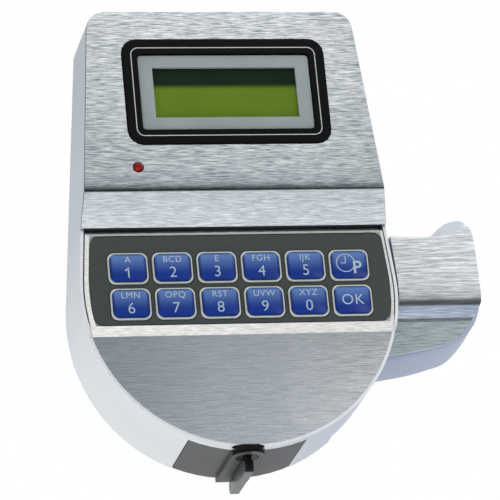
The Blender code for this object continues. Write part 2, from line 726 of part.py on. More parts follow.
def make_lower_cover():
    width = WALL_RADIUS + OVERRUN
    cover = plate("lower_cover", [sheet(cover_path(), COVER_SHEET)], -width, width, "side",
                  FRONT, "brushed_steel")
    edge = WALL + COVER_GAP
    rings = [(housing_outline(edge + COVER_CHAMFER), -PLATEAU_DEPTH),
             (housing_outline(edge), -PLATEAU_DEPTH + COVER_CHAMFER),
             (housing_outline(edge), 0)]
    combine(cover, loft("cut_cover_outline", rings, "front", FRONT), "INTERSECT")
    floor = -PLATEAU_DEPTH + PANEL_THICKNESS + FIT
    recess = plate("cut_panel_recess", [panel_outline(FIT)], -PLATEAU_DEPTH - OVERRUN, floor,
                   "front", FRONT)
    width, height, centre = key_field(2 * FIT)
    window = plate("cut_key_window", [box_outline(width, height, centre)],
                   -PLATEAU_DEPTH - OVERRUN, -PLATEAU_DEPTH + COVER_SHEET + FIT, "front", FRONT)
    return cut(cover, recess, window)


# Keypad

def key_place(index):
    row, column = divmod(index, KEY_COLUMNS)
    x = (column - (KEY_COLUMNS - 1) / 2) * KEY_PITCH_X
    return x, KEY_ROW_Z - row * KEY_PITCH_Z


def key_field(margin):
    """Width, height and centre of the field that the keys fill, with a margin round it."""
    first = key_place(0)
    last = key_place(len(KEY_NAMES) - 1)
    width = last[0] - first[0] + KEY_WIDTH + 2 * margin
    height = first[1] - last[1] + KEY_HEIGHT + 2 * margin
    return width, height, (0, (first[1] + last[1]) / 2)


def key_outline(index, grow):
    return box_outline(KEY_WIDTH + 2 * grow, KEY_HEIGHT + 2 * grow, key_place(index),
                       KEY_CORNER + grow)


def make_keypad_panel():
    holes = [key_outline(i, FIT) for i in range(len(KEY_NAMES))]
    return plate("keypad_panel", [panel_outline(0)] + holes, -PLATEAU_DEPTH,
                 -PLATEAU_DEPTH + PANEL_THICKNESS, "front", FRONT, "panel_grey")


def key_back():
    return -PLATEAU_DEPTH - KEY_PROUD + KEY_THICKNESS


def make_keys():
    for index, name in enumerate(KEY_NAMES):
        key = plate(name, [key_outline(index, 0)], -PLATEAU_DEPTH - KEY_PROUD, key_back(),
                    "front", FRONT, "key_blue")
        x, z = key_place(index)
        set_origin(key, (x, -PLATEAU_DEPTH, z))


def make_switch_mat():
    width, height, centre = key_field(MAT_BORDER)
    front = key_back() + KEY_TRAVEL + FIT
    return plate("switch_mat", [box_outline(width, height - MAT_BORDER, centre, KEY_CORNER)],
                 front, front + MAT_THICKNESS, "front", FRONT, "rubber_grey")


def keypad_board_front():
    return key_back() + KEY_TRAVEL + FIT + MAT_THICKNESS + FIT


def make_keypad_board():
    width, height, centre = key_field(MAT_BORDER)
    front = keypad_board_front()
    return plate("keypad_board", [box_outline(width, height - MAT_BORDER, centre)], front,
                 front + BOARD, "front", FRONT, "board_green")


# Display

def make_display_bezel():
    front = -DISPLAY_DEPTH - BEZEL_PROUD
    outer = box_outline(BEZEL_WIDTH, BEZEL_HEIGHT, (0, DISPLAY_Z), BEZEL_CORNER)
    inner = box_outline(BEZEL_OPENING_WIDTH, BEZEL_OPENING_HEIGHT, (0, DISPLAY_Z),
                        BEZEL_OPENING_CORNER)
    return plate("display_bezel", [outer, inner], front, front + BEZEL_THICKNESS, "front",
                 FRONT, "black_gloss")


def bezel_filler():
    """Outline of what sits inside the bezel's opening."""
    return box_outline(BEZEL_OPENING_WIDTH - 2 * FIT, BEZEL_OPENING_HEIGHT - 2 * FIT,
                       (0, DISPLAY_Z), BEZEL_OPENING_CORNER - FIT)


def make_display_lens():
    front = -DISPLAY_DEPTH - BEZEL_PROUD
    return plate("display_lens", [bezel_filler()], front, front + LENS_THICKNESS, "front",
                 FRONT, "clear_lens")


def mask_front():
    return -DISPLAY_DEPTH - BEZEL_PROUD + LENS_THICKNESS + FIT


def make_lcd_mask():
    window = box_outline(WINDOW_WIDTH, WINDOW_HEIGHT, (0, DISPLAY_Z))
    return plate("lcd_mask", [bezel_filler(), window], mask_front(),
                 mask_front() + MASK_THICKNESS, "front", FRONT, "grey_mask")


def cell_front():
    return mask_front() + MASK_THICKNESS + FIT


def make_lcd_glass():
    return plate("lcd_glass", [box_outline(CELL_WIDTH, CELL_HEIGHT, (0, DISPLAY_Z))],
                 cell_front(), cell_front() + CELL_THICKNESS, "front", FRONT, "lcd_green")


def lcd_board_front():
    return cell_front() + CELL_THICKNESS + FIT


def make_lcd_board():
    front = lcd_board_front()
    return plate("lcd_board", [box_outline(LCD_BOARD_WIDTH, LCD_BOARD_HEIGHT, (0, DISPLAY_Z))],
                 front, front + BOARD, "front", FRONT, "board_green")


def header_front():
    return lcd_board_front() + BOARD + FIT


def make_pin_header():
    z = DISPLAY_Z + LCD_BOARD_HEIGHT / 2 - HEADER_HEIGHT
    return plate("pin_header", [box_outline(HEADER_LENGTH, HEADER_HEIGHT, (0, z))],
                 header_front(), header_front() + HEADER_DEPTH, "front", FRONT,
                 "black_plastic")


def main_board_front():
    return header_front() + HEADER_DEPTH + FIT


def main_board_half():
    """Half the board's width, which the leaning sides leave room for at its top."""
    return side_x(MAIN_BOARD_TOP, MAIN_BOARD_INSET)


def standoff_places():
    x = main_board_half() - STANDOFF_EDGE
    heights = (MAIN_BOARD_TOP - STANDOFF_EDGE, tray_top() + STANDOFF_GAP + STANDOFF_RADIUS)
    return [(side * x, z) for z in heights for side in (-1, 1)]


def make_main_board():
    height = MAIN_BOARD_TOP - MAIN_BOARD_BOTTOM
    middle = (MAIN_BOARD_TOP + MAIN_BOARD_BOTTOM) / 2
    holes = [circle(BOARD_SCREW_RADIUS + FIT, place, SMALL_TURN_STEPS)
             for place in standoff_places()]
    front = main_board_front()
    outline = box_outline(2 * main_board_half(), height, (0, middle))
    return plate("main_board", [outline] + holes, front, front + BOARD, "front", FRONT,
                 "board_green")


def make_sounder():
    back = main_board_front() + BOARD + FIT
    centre = (SOUNDER_X, back, SOUNDER_Z)
    profile = [(0, SOUNDER_HEIGHT), (SOUNDER_RADIUS, SOUNDER_HEIGHT), (SOUNDER_RADIUS, 0), (0, 0)]
    return turned("sounder", profile, "front", centre, FRONT, "black_plastic")


def make_keypad_cable():
    """Flat cable behind the keypad board and the main board, lapped on both."""
    width, height, centre = key_field(MAT_BORDER)
    bottom = centre[1] + (height - MAT_BORDER) / 2 - CABLE_LAP
    top = MAIN_BOARD_BOTTOM + CABLE_LAP / 2
    front = max(keypad_board_front(), main_board_front()) + BOARD + FIT
    outline = box_outline(CABLE_WIDTH, top - bottom, (CABLE_X - CABLE_WIDTH, (top + bottom) / 2))
    return plate("keypad_cable", [outline], front, front + CABLE_THICKNESS, "front", FRONT,
                 "grey_mask")


def make_status_led():
    tip = -DISPLAY_DEPTH - LED_PROUD
    flange = -DISPLAY_DEPTH + HOOD_SHEET + FIT
    dome = arc((0, -LED_RADIUS), LED_RADIUS, math.pi / 2, 0, CORNER_STEPS)
    drop = flange - tip
    back = -max(drop + LED_FLANGE, LED_BODY)
    profile = dome + [(LED_RADIUS, -drop), (LED_FLANGE_RADIUS, -drop),
                      (LED_FLANGE_RADIUS, back), (0, back)]
    profile = [(max(radius, 0), -level) for radius, level in profile]
    lamp = turned("status_led", profile, "front", (LED_X, tip, LED_Z), FRONT, "lamp_red",
                  SMALL_TURN_STEPS)
    for side in (-1, 1):
        place = (LED_X + side * LED_LEG_SPACING / 2, LED_Z)
        leg = plate("join_lamp_leg", [circle(LED_LEG_RADIUS, place, SMALL_TURN_STEPS // 2)],
                    tip - back - LED_FLANGE / 2, main_board_front() - FIT, "front", FRONT)
        join(lamp, leg)
    return lamp


def make_standoffs():
    for index, (x, z) in enumerate(standoff_places()):
        front = main_board_front() + BOARD + FIT
        length = front_y(-BASE - FIT, z) - FIT - front
        bore = BOARD_SCREW_RADIUS + FIT
        profile = [(bore, 0), (STANDOFF_RADIUS, 0), (STANDOFF_RADIUS, length), (0, length),
                   (0, BOARD_SCREW_LENGTH), (bore, BOARD_SCREW_LENGTH)]
        turned("standoff_%d" % (index + 1), profile, "front", (x, front, z), FRONT,
               "plated_steel", SMALL_TURN_STEPS, closed=True)
        make_board_screw(index, x, z)


def make_board_screw(index, x, z):
    seat = main_board_front() - FIT
    head = BOARD_SCREW_HEAD
    reach = head + FIT + BOARD + BOARD_SCREW_LENGTH - FIT
    profile = [(0, 0), (BOARD_SCREW_HEAD_RADIUS, 0), (BOARD_SCREW_HEAD_RADIUS, head),
               (BOARD_SCREW_RADIUS, head), (BOARD_SCREW_RADIUS, reach), (0, reach)]
    turned("board_screw_%d" % (index + 1), profile, "front", (x, seat - head, z), FRONT,
           "plated_steel", SMALL_TURN_STEPS)


# Base plate and what turns in it

def make_base_plate():
    stretch = 1 / math.cos(FRONT_TILT)
    outline = [(x, z * stretch) for x, z in housing_outline(WALL + BASE_GAP)]
    holes = [circle(JOURNAL_RADIUS + FIT + BUSH_WALL + FIT)]
    for z in (BASE_HOLE_TOP_Z, BASE_HOLE_BOTTOM_Z):
        for side in (-1, 1):
            holes.append(circle(BASE_HOLE_RADIUS, (side * BASE_HOLE_X, z), SMALL_TURN_STEPS))
    holes.append(circle(CABLE_HOLE_RADIUS, (CABLE_HOLE_X, CABLE_HOLE_Z)))
    base = plate("base_plate", [outline] + holes, -BASE, 0, "front", DOOR, "plated_steel")
    return join(base, make_latch())


def make_latch():
    """Bent tab of the base plate, whose lip the lock's cam stands behind."""
    inner = LOCK_X + math.hypot(CAM_LENGTH, CAM_HALF_WIDTH) + FIT
    front = LOCK_Y - CAM_HALF_WIDTH - FIT - LATCH
    middle = cam_bottom() + CAM / 2
    back = front_y(-BASE / 2, middle)
    plan = [(LOCK_X + LATCH_LIP, front), (inner + LATCH, front), (inner + LATCH, back),
            (inner, back), (inner, front + LATCH), (LOCK_X + LATCH_LIP, front + LATCH)]
    return plate("join_latch", [plan], middle - LATCH_HEIGHT / 2, middle + LATCH_HEIGHT / 2,
                 "plan", FRONT)


def flange_front():
    return -BASE - FIT - BUSH_FLANGE


def washer_front():
    return flange_front() - FIT - WASHER_THICKNESS


def arm_back():
    return washer_front() - FIT


def arm_front():
    return arm_back() - ARM


def ring_front():
    return arm_front() - FIT - RING_THICKNESS


def make_spindle_bush():
    bore = JOURNAL_RADIUS + FIT
    barrel = bore + BUSH_WALL
    face = flange_front()
    shoulder = -BASE - FIT - face
    end = -FIT - face
    profile = [(bore, 0), (BUSH_FLANGE_RADIUS, 0), (BUSH_FLANGE_RADIUS, shoulder),
               (barrel, shoulder), (barrel, end), (bore, end)]
    return turned("spindle_bush", profile, "front", (0, face, 0), DOOR, "brass", closed=True)


def make_friction_washer():
    ring = [circle(BUSH_FLANGE_RADIUS), circle(JOURNAL_RADIUS + FIT)]
    return plate("friction_washer", ring, washer_front(), washer_front() + WASHER_THICKNESS,
                 "front", DOOR, "brass")


def make_retaining_ring():
    half = RING_MOUTH / 2
    turn = (math.pi / 2 + half, math.pi / 2 + math.tau - half)
    outer = arc((0, 0), RING_OUTER_RADIUS, *turn, TURN_STEPS)
    inner = arc((0, 0), RING_INNER_RADIUS, *turn, TURN_STEPS)
    return plate("retaining_ring", [outer + inner[::-1]], ring_front(),
                 ring_front() + RING_THICKNESS, "front", DOOR, "plated_steel")


def make_spindle():
    nose = ring_front() - SPINDLE_NOSE
    spindle = plate("spindle", [box_outline(SPINDLE_SQUARE, SPINDLE_SQUARE)], nose,
                    SPINDLE_LENGTH, "front", DOOR, "plated_steel")
    journal = plate("join_journal", [circle(JOURNAL_RADIUS)], arm_back() + FIT, -FIT, "front",
                    DOOR)
    groove = plate("cut_ring_groove",
                   [circle(RING_OUTER_RADIUS), circle(RING_INNER_RADIUS - FIT)],
                   ring_front() - FIT, ring_front() + RING_THICKNESS + FIT / 2, "front", DOOR)
    return cut(join(spindle, journal), groove)


def make_hub_arm():
    meet = math.asin(ARM_HALF_WIDTH / HUB_RADIUS)
    hub = arc((0, 0), HUB_RADIUS, meet, math.tau - meet, TURN_STEPS)
    end = [(ARM_REACH, -ARM_HALF_WIDTH), (ARM_REACH, ARM_HALF_WIDTH)]
    radii = [0] * len(hub) + [ARM_CORNER] * len(end)
    outline = rounded(hub + end, radii)
    square = box_outline(SPINDLE_SQUARE + 2 * FIT, SPINDLE_SQUARE + 2 * FIT)
    holes = [circle(LEVER_SCREW_RADIUS + FIT, (x, 0), SMALL_TURN_STEPS) for x in lever_screw_xs()]
    return plate("hub_arm", [outline, square] + holes, arm_front(), arm_back(), "front", DOOR,
                 "plated_steel")


# Swing lever

def curve_through(points, steps):
    """A smooth open path through points, in so many steps from each to the next."""
    made = []
    for i in range(len(points) - 1):
        p0, p1, p2, p3 = [Vector(points[min(max(k, 0), len(points) - 1)])
                          for k in (i - 1, i, i + 1, i + 2)]
        for step in range(steps):
            t = step / steps
            made.append(tuple(p1 + t / 2 * (p2 - p0)
                              + t ** 2 / 2 * (2 * p0 - 5 * p1 + 4 * p2 - p3)
                              + t ** 3 / 2 * (3 * p1 - p0 - 3 * p2 + p3)))
    return made + [points[-1]]


def lever_inner_x(y, z):
    """Where the lever's inner side lies, a gap away from the housing's wall at y and z."""
    wall_z = y * math.sin(FRONT_TILT) + z * math.cos(FRONT_TILT)
    return side_x(wall_z, -LEVER_GAP)


def lever_outline(shares, y):
    """Outline of the lever at a depth, closed along the housing's wall."""
    points = []
    for share_x, share_z in shares:
        z = share_z * (LEVER_RISE if share_z > 0 else LEVER_DROP)
        foot = lever_inner_x(y, z)
        points.append((foot + (WALL_RADIUS + LEVER_GAP + LEVER_REACH - foot) * share_x, z))
    made = curve_through(points, LEVER_CURVE_STEPS)
    low, high = points[-1][1], points[0][1]
    for i in range(1, ARC_STEPS // 2):
        z = low + (high - low) * i / (ARC_STEPS // 2)
        made.append((lever_inner_x(y, z), z))
    return made


def lever_path():
    reach = LEVER_RISE + OVERRUN
    return [(-LEVER_UPPER_DEPTH, reach), (-LEVER_UPPER_DEPTH, LEVER_BAND_TOP_Z),
            (-LEVER_LOWER_DEPTH, LEVER_BAND_BOTTOM_Z), (-LEVER_LOWER_DEPTH, -reach)]


def make_lever_skin():
    right = WALL_RADIUS + LEVER_REACH + OVERRUN
    skin = plate("lever_skin", [sheet(lever_path(), LEVER_SKIN)], 0, right, "side", DOOR,
                 "brushed_steel")
    outline = plate("cut_skin_outline", [lever_outline(LEVER_FRONT_SHARES, -LEVER_LOWER_DEPTH)],
                    -LEVER_UPPER_DEPTH - OVERRUN, 0, "front", DOOR)
    return combine(skin, outline, "INTERSECT")


def make_lever_body():
    levels = ((LEVER_FRONT_SHARES, -LEVER_UPPER_DEPTH),
              (LEVER_FRONT_SHARES, -LEVER_LOWER_DEPTH + LEVER_SKIN),
              (LEVER_LOBE_SHARES, -LEVER_LOBE_DEPTH), (LEVER_BACK_SHARES, -LEVER_DOOR_GAP))
    rings = [(lever_outline(shares, y), y) for shares, y in levels]
    body = loft("lever_body", rings, "front", DOOR, "satin_silver")
    path = offset_path(lever_path(), LEVER_SKIN + FIT)
    far = -LEVER_UPPER_DEPTH - OVERRUN
    ahead = [(far, path[-1][1]), (far, path[0][1])] + path
    right = WALL_RADIUS + LEVER_REACH + OVERRUN
    front = plate("cut_lever_front", [ahead], 0, right, "side", DOOR)
    inner = WALL_RADIUS - OVERRUN
    half = ARM_HALF_WIDTH + FIT
    outline = [(inner, -half), (ARM_REACH + FIT, -half), (ARM_REACH + FIT, half), (inner, half)]
    pocket = plate("cut_lever_pocket", [outline], arm_front() - FIT, OVERRUN, "front", DOOR)
    cut(body, front, pocket)
    for x in lever_screw_xs():
        bore = plate("cut_lever_bore", [circle(LEVER_SCREW_RADIUS + FIT, (x, 0),
                                               SMALL_TURN_STEPS)],
                     arm_back() - LEVER_SCREW_LENGTH - FIT, 0, "front", DOOR)
        cut(body, bore)
    return body


def lever_screw_xs():
    return (LEVER_SCREW_X, LEVER_SCREW_X + LEVER_SCREW_SPACING)


def make_lever_screws():
    for index, x in enumerate(lever_screw_xs()):
        seat = arm_back() + FIT
        head = LEVER_SCREW_HEAD
        reach = head + FIT + LEVER_SCREW_LENGTH
        profile = [(0, head), (LEVER_SCREW_HEAD_RADIUS, head), (LEVER_SCREW_HEAD_RADIUS, 0),
                   (LEVER_SCREW_RADIUS, 0), (LEVER_SCREW_RADIUS, head - reach),
                   (0, head - reach)]
        turned("lever_screw_%d" % (index + 1), profile, "front", (x, seat, 0), DOOR,
               "plated_steel", SMALL_TURN_STEPS)


# Battery

def tray_floor_front():
    return -BASE - FIT - TRAY_FLOOR


def battery_bottom():
    return HUB_RADIUS + TRAY_HUB_GAP + TRAY_WALL + FIT


def tray_top():
    return battery_bottom() + BATTERY_HEIGHT + FIT + TRAY_WALL


def battery_left():
    return BATTERY_X - BATTERY_LENGTH / 2


def make_battery():
    low = battery_bottom()
    back = tray_floor_front() - FIT
    middle = (back - BATTERY_DEPTH / 2, low + BATTERY_HEIGHT / 2)
    case = plate("battery", [box_outline(BATTERY_DEPTH, BATTERY_HEIGHT, middle, BATTERY_BEVEL)],
                 battery_left(), battery_left() + BATTERY_LENGTH, "side", DOOR, "battery_case")
    for side in (-1, 1):
        place = (middle[0], middle[1] + side * TERMINAL_SPACING / 2)
        terminal = plate("join_terminal", [circle(TERMINAL_RADIUS, place, SMALL_TURN_STEPS)],
                         battery_left() - TERMINAL_LENGTH, battery_left() + TERMINAL_LENGTH,
                         "side", DOOR)
        join(case, terminal)
    return case


def make_battery_clip():
    right = battery_left() - TERMINAL_LENGTH - FIT
    middle = (tray_floor_front() - FIT - BATTERY_DEPTH / 2, battery_bottom() + BATTERY_HEIGHT / 2)
    outline = box_outline(BATTERY_DEPTH - CLIP_MARGIN, BATTERY_HEIGHT - CLIP_MARGIN, middle,
                          BATTERY_BEVEL)
    return plate("battery_clip", [outline], right - CLIP_THICKNESS, right, "side", DOOR,
                 "black_plastic")


def make_battery_tray():
    left = battery_left() - TERMINAL_LENGTH - FIT - CLIP_THICKNESS - FIT
    right = battery_left() + BATTERY_LENGTH + FIT
    low = battery_bottom() - FIT
    width = right - left
    height = BATTERY_HEIGHT + 2 * FIT
    centre = ((left + right) / 2, low + height / 2)
    outer = box_outline(width + 2 * TRAY_WALL, height + 2 * TRAY_WALL, centre, TRAY_WALL)
    tray = plate("battery_tray", [outer], -BASE - FIT - TRAY_DEPTH, -BASE - FIT, "front", DOOR,
                 "black_plastic")
    hollow = plate("cut_tray", [box_outline(width, height, centre)],
                   -BASE - FIT - TRAY_DEPTH - OVERRUN, tray_floor_front(), "front", DOOR)
    return cut(tray, hollow)


# Insert and key lock in the bottom wall

def ring_prism(name, outer, inner):
    return plate(name, [circle(outer, (0, 0), 4 * ARC_STEPS), circle(inner, (0, 0), 4 * ARC_STEPS)],
                 LOBE_FRONT_Y - OVERRUN, WALL_RADIUS, "front", FRONT)


def make_bottom_cover():
    cover = plate("bottom_cover", [insert_plan(0)], -WALL_RADIUS - OVERRUN,
                  -WALL_RADIUS / 2, "plan", FRONT, "insert_grey")
    outer = WALL_RADIUS - INSERT_SET_BACK
    combine(cover, ring_prism("cut_insert_wall", outer, outer - WALL), "INTERSECT")
    bore = plate("cut_insert_bore", [circle(CYLINDER_RADIUS + FIT, (LOCK_X, LOCK_Y))],
                 -WALL_RADIUS - OVERRUN, -WALL_RADIUS / 2, "plan", FRONT)
    return cut(cover, bore, door_cutter("cut_insert_back", -FIT))


def plate_face():
    return -WALL_RADIUS - PLATE_PROUD


def make_key_escutcheon():
    seat = WALL_RADIUS + FIT
    left = math.asin((LOCK_X - PLATE_HALF_WIDTH) / seat) - math.pi / 2
    right = math.asin((LOCK_X + PLATE_HALF_WIDTH) / seat) - math.pi / 2
    top = arc((0, 0), seat, right, left, CORNER_STEPS)
    outline = top + [(LOCK_X - PLATE_HALF_WIDTH, plate_face()),
                     (LOCK_X + PLATE_HALF_WIDTH, plate_face())]
    back = LOBE_FRONT_Y + PLATE_LENGTH
    piece = plate("key_escutcheon", [outline], LOBE_FRONT_Y - OVERRUN, back, "front", FRONT,
                  "insert_grey")
    nose = arc((LOCK_X, LOBE_FRONT_Y + PLATE_HALF_WIDTH), PLATE_HALF_WIDTH, -math.pi, 0,
               4 * CORNER_STEPS)
    ends = [(LOCK_X + PLATE_HALF_WIDTH + FIT, 0), (LOCK_X + PLATE_HALF_WIDTH + FIT, back + OVERRUN),
            (LOCK_X - PLATE_HALF_WIDTH - FIT, back + OVERRUN), (LOCK_X - PLATE_HALF_WIDTH - FIT, 0)]
    trim = plate("cut_plate_nose", [nose + ends], plate_face() - OVERRUN, -WALL_RADIUS / 2,
                 "plan", FRONT)
    combine(piece, trim, "INTERSECT")
    bore = plate("cut_plate_bore", [circle(PLUG_RADIUS + FIT, (LOCK_X, LOCK_Y))],
                 plate_face() - OVERRUN, -WALL_RADIUS / 2, "plan", FRONT)
    return cut(piece, bore)


def cylinder_bottom():
    """Lowest level of the lock's cylinder, just above the raised plate."""
    edge = abs(LOCK_X) + CYLINDER_RADIUS
    return -math.sqrt((WALL_RADIUS + FIT) ** 2 - edge ** 2) + FIT


def keyway_top():
    return plate_face() + BLADE_LENGTH + FIT


def cam_top():
    """Top of the cam, so far above the keyway that its screw has a web below it."""
    return keyway_top() + PLUG_WEB + CAM_SCREW_LENGTH + FIT


def cam_bottom():
    return cam_top() - CAM


def cylinder_top():
    return cam_bottom() - FIT


def clip_bottom():
    return -WALL_RADIUS + INSERT_SET_BACK + WALL + CYLINDER_CLIP_RISE


def make_cylinder_body():
    bore = PLUG_RADIUS + FIT
    height = cylinder_top() - cylinder_bottom()
    low = clip_bottom() - FIT - cylinder_bottom()
    high = low + CYLINDER_CLIP + 2 * FIT
    neck = CYLINDER_RADIUS - CYLINDER_GROOVE
    profile = [(bore, height), (CYLINDER_RADIUS, height), (CYLINDER_RADIUS, high), (neck, high),
               (neck, low), (CYLINDER_RADIUS, low), (CYLINDER_RADIUS, 0), (bore, 0)]
    centre = (LOCK_X, LOCK_Y, cylinder_bottom())
    return turned("cylinder_body", profile, "plan", centre, FRONT, "plated_steel", closed=True)


def make_cylinder_clip():
    """Fork that drops into the cylinder's groove and holds it in the insert."""
    half = CYLINDER_RADIUS + CYLINDER_CLIP_SIDE
    slot = CYLINDER_RADIUS - CYLINDER_GROOVE + FIT
    front = LOCK_Y - slot
    back = LOCK_Y + CYLINDER_RADIUS + CYLINDER_CLIP_BACK
    outline = [(LOCK_X - half, back), (LOCK_X - half, front), (LOCK_X - slot, front)]
    outline += [(LOCK_X + x, LOCK_Y + y) for x, y in arc((0, 0), slot, math.pi, 0, CORNER_STEPS * 2)]
    outline += [(LOCK_X + slot, front), (LOCK_X + half, front), (LOCK_X + half, back)]
    return plate("cylinder_clip", [outline], clip_bottom(), clip_bottom() + CYLINDER_CLIP,
                 "plan", FRONT, "plated_steel")


def lock_axis(z):
    return (LOCK_X, LOCK_Y, z)


def make_lock_plug():
    low = plate_face()
    plug = plate("lock_plug", [circle(PLUG_RADIUS, (LOCK_X, LOCK_Y))], low, cylinder_top(),
                 "plan", FRONT, "brass")
    spigot = plate("join_spigot", [box_outline(SPIGOT_SQUARE, SPIGOT_SQUARE, (LOCK_X, LOCK_Y))],
                   cylinder_top() - CAM, cam_top(), "plan", FRONT)
    slot = box_outline(BLADE_THICKNESS + 2 * FIT, BLADE_HEIGHT + 2 * FIT, (LOCK_X, LOCK_Y))
    keyway = plate("cut_keyway", [slot], low - OVERRUN, keyway_top(), "plan", FRONT)
    bore = plate("cut_plug_bore", [circle(CAM_SCREW_RADIUS + FIT, (LOCK_X, LOCK_Y),
                                          SMALL_TURN_STEPS // 2)],
                 keyway_top() + PLUG_WEB, cam_top() + OVERRUN, "plan", FRONT)
    cut(join(plug, spigot), keyway, bore)
    return set_origin(plug, lock_axis(low))


def make_lock_cam():
    hub = arc((LOCK_X, LOCK_Y), CAM_HALF_WIDTH, math.pi / 2, 3 * math.pi / 2, CORNER_STEPS * 2)
    tip = [(LOCK_X + CAM_LENGTH, LOCK_Y - CAM_HALF_WIDTH),
           (LOCK_X + CAM_LENGTH, LOCK_Y + CAM_HALF_WIDTH)]
    square = SPIGOT_SQUARE + 2 * FIT
    cam = plate("lock_cam", [hub + tip, box_outline(square, square, (LOCK_X, LOCK_Y))],
                cam_bottom(), cam_top(), "plan", FRONT, "plated_steel")
    return set_origin(cam, lock_axis(cam_bottom()))


def make_cam_screw():
    base = cam_top() + FIT
    depth = CAM_SCREW_LENGTH - FIT
    profile = [(0, CAM_SCREW_HEAD), (CAM_SCREW_HEAD_RADIUS, CAM_SCREW_HEAD),
               (CAM_SCREW_HEAD_RADIUS, 0), (CAM_SCREW_RADIUS, 0), (CAM_SCREW_RADIUS, -depth),
               (0, -depth)]
    screw = turned("cam_screw", profile, "plan", lock_axis(base), FRONT, "plated_steel",
                   SMALL_TURN_STEPS // 2)
    return set_origin(screw, lock_axis(base))


def make_lock_key():
    top = plate_face() - BOW_GAP
    low = top - BOW_HEIGHT
    front = LOCK_Y - BOW_FRONT
    outline = [(front, low), (front + BOW_LENGTH, low), (front + BOW_LENGTH, top), (front, top)]
    half = BOW_THICKNESS / 2
    key = plate("lock_key", [rounded(outline, BOW_CORNER)], LOCK_X - half, LOCK_X + half, "side",
                FRONT, "plated_steel")
    blade = plate("join_blade", [box_outline(BLADE_THICKNESS, BLADE_HEIGHT, (LOCK_X, LOCK_Y))],
                  low + BOW_CORNER, plate_face() + BLADE_LENGTH - FIT, "plan", FRONT)
    join(key, blade)
    return set_origin(key, lock_axis(plate_face()))


clear_scene()
PARTS = new_collection("safe_lock_entry_unit")
CUTTERS = new_collection("cutters")
DOOR = new_frame("door_frame", (0, 0, AXIS_Z), 0)
FRONT = new_frame("front_frame", (0, 0, AXIS_Z), FRONT_TILT)

make_side_shell()
make_display_hood()
make_lower_cover()
make_keypad_panel()
make_keys()
make_switch_mat()
make_keypad_board()
make_display_bezel()
make_display_lens()
make_lcd_mask()
make_lcd_glass()
make_lcd_board()
make_pin_header()
make_main_board()
make_sounder()
make_keypad_cable()
make_status_led()
make_standoffs()
make_base_plate()
make_spindle_bush()
make_friction_washer()
make_retaining_ring()
make_spindle()
make_hub_arm()
make_lever_body()
make_lever_skin()
make_lever_screws()
make_battery()
make_battery_clip()
make_battery_tray()
make_bottom_cover()
make_key_escutcheon()
make_cylinder_body()
make_cylinder_clip()
make_lock_plug()
make_lock_cam()
make_cam_screw()
make_lock_key()
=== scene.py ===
"""Looks of a safe lock's entry unit: steel hood and cover, display, keypad, lever and key."""

import math

import bmesh
import bpy
from mathutils import Matrix, Vector


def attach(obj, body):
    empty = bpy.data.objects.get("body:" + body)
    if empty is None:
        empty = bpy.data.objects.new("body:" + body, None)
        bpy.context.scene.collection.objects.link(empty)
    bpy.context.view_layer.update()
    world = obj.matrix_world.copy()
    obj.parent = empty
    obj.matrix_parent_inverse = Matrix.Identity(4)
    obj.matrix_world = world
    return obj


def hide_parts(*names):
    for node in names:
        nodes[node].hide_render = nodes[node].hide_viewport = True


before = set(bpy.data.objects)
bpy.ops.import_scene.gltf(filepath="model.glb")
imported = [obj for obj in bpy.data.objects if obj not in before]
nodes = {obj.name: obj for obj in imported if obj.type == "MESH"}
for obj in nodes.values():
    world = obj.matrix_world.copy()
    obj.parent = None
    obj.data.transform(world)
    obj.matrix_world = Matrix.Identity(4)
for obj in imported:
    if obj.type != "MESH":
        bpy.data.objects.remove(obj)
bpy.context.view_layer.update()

# Camera, standing below and to the left of the unit and looking up at its tilted front, with
# a long lens. The whole unit fills the frame, as in the photograph.
MM = 0.001
CAMERA_PLACE = Vector((-267.86, -1202.25, -304.69)) * MM
CAMERA_TURN = tuple(math.radians(angle) for angle in (104.028, 3.951, -12.066))
LENS_LENGTH = 278.28
FILM_WIDTH = 36
NEAREST_VIEW = 0.05

camera_data = bpy.data.cameras.new("camera")
camera_data.lens = LENS_LENGTH
camera_data.sensor_width = FILM_WIDTH
camera_data.clip_start = NEAREST_VIEW
camera = bpy.data.objects.new("camera", camera_data)
camera.location = CAMERA_PLACE
camera.rotation_euler = CAMERA_TURN
bpy.context.scene.collection.objects.link(camera)
bpy.context.scene.camera = camera
bpy.context.scene.view_settings.view_transform = "Standard"

# Studio: a pale floor far below the unit, which hangs as if on a door, and an even white
# surround. Cards that the camera doesn't see stand in front, at the left and below right, and
# give the steel its grey, the left wall its shade and the right wall its blue.
FLOOR_HEIGHT = -1.5
FLOOR_SIZE = 12
FLOOR_GLOW = 0.12
UPRIGHT = math.radians(90)
FACING_RIGHT = math.radians(90)
CARD_CORE = 0.6
WHITE = "#ffffff"


def linear(hex_colour):
    """A colour given as six hex digits of sRGB, as the linear red, green, blue and alpha."""
    shares = [int(hex_colour[i:i + 2], 16) / 255 for i in (1, 3, 5)]
    return [s / 12.92 if s <= 0.04045 else ((s + 0.055) / 1.055) ** 2.4 for s in shares] + [1]


def add(tree, kind, values=None, links=None, **settings):
    """Adds a node, sets its own settings and its inputs' values, and links its inputs."""
    node = tree.nodes.new("ShaderNode" + kind)
    for name, value in settings.items():
        setattr(node, name, value)
    for name, value in (values or {}).items():
        node.inputs[name].default_value = value
    for name, socket in (links or {}).items():
        tree.links.new(socket, node.inputs[name])
    return node


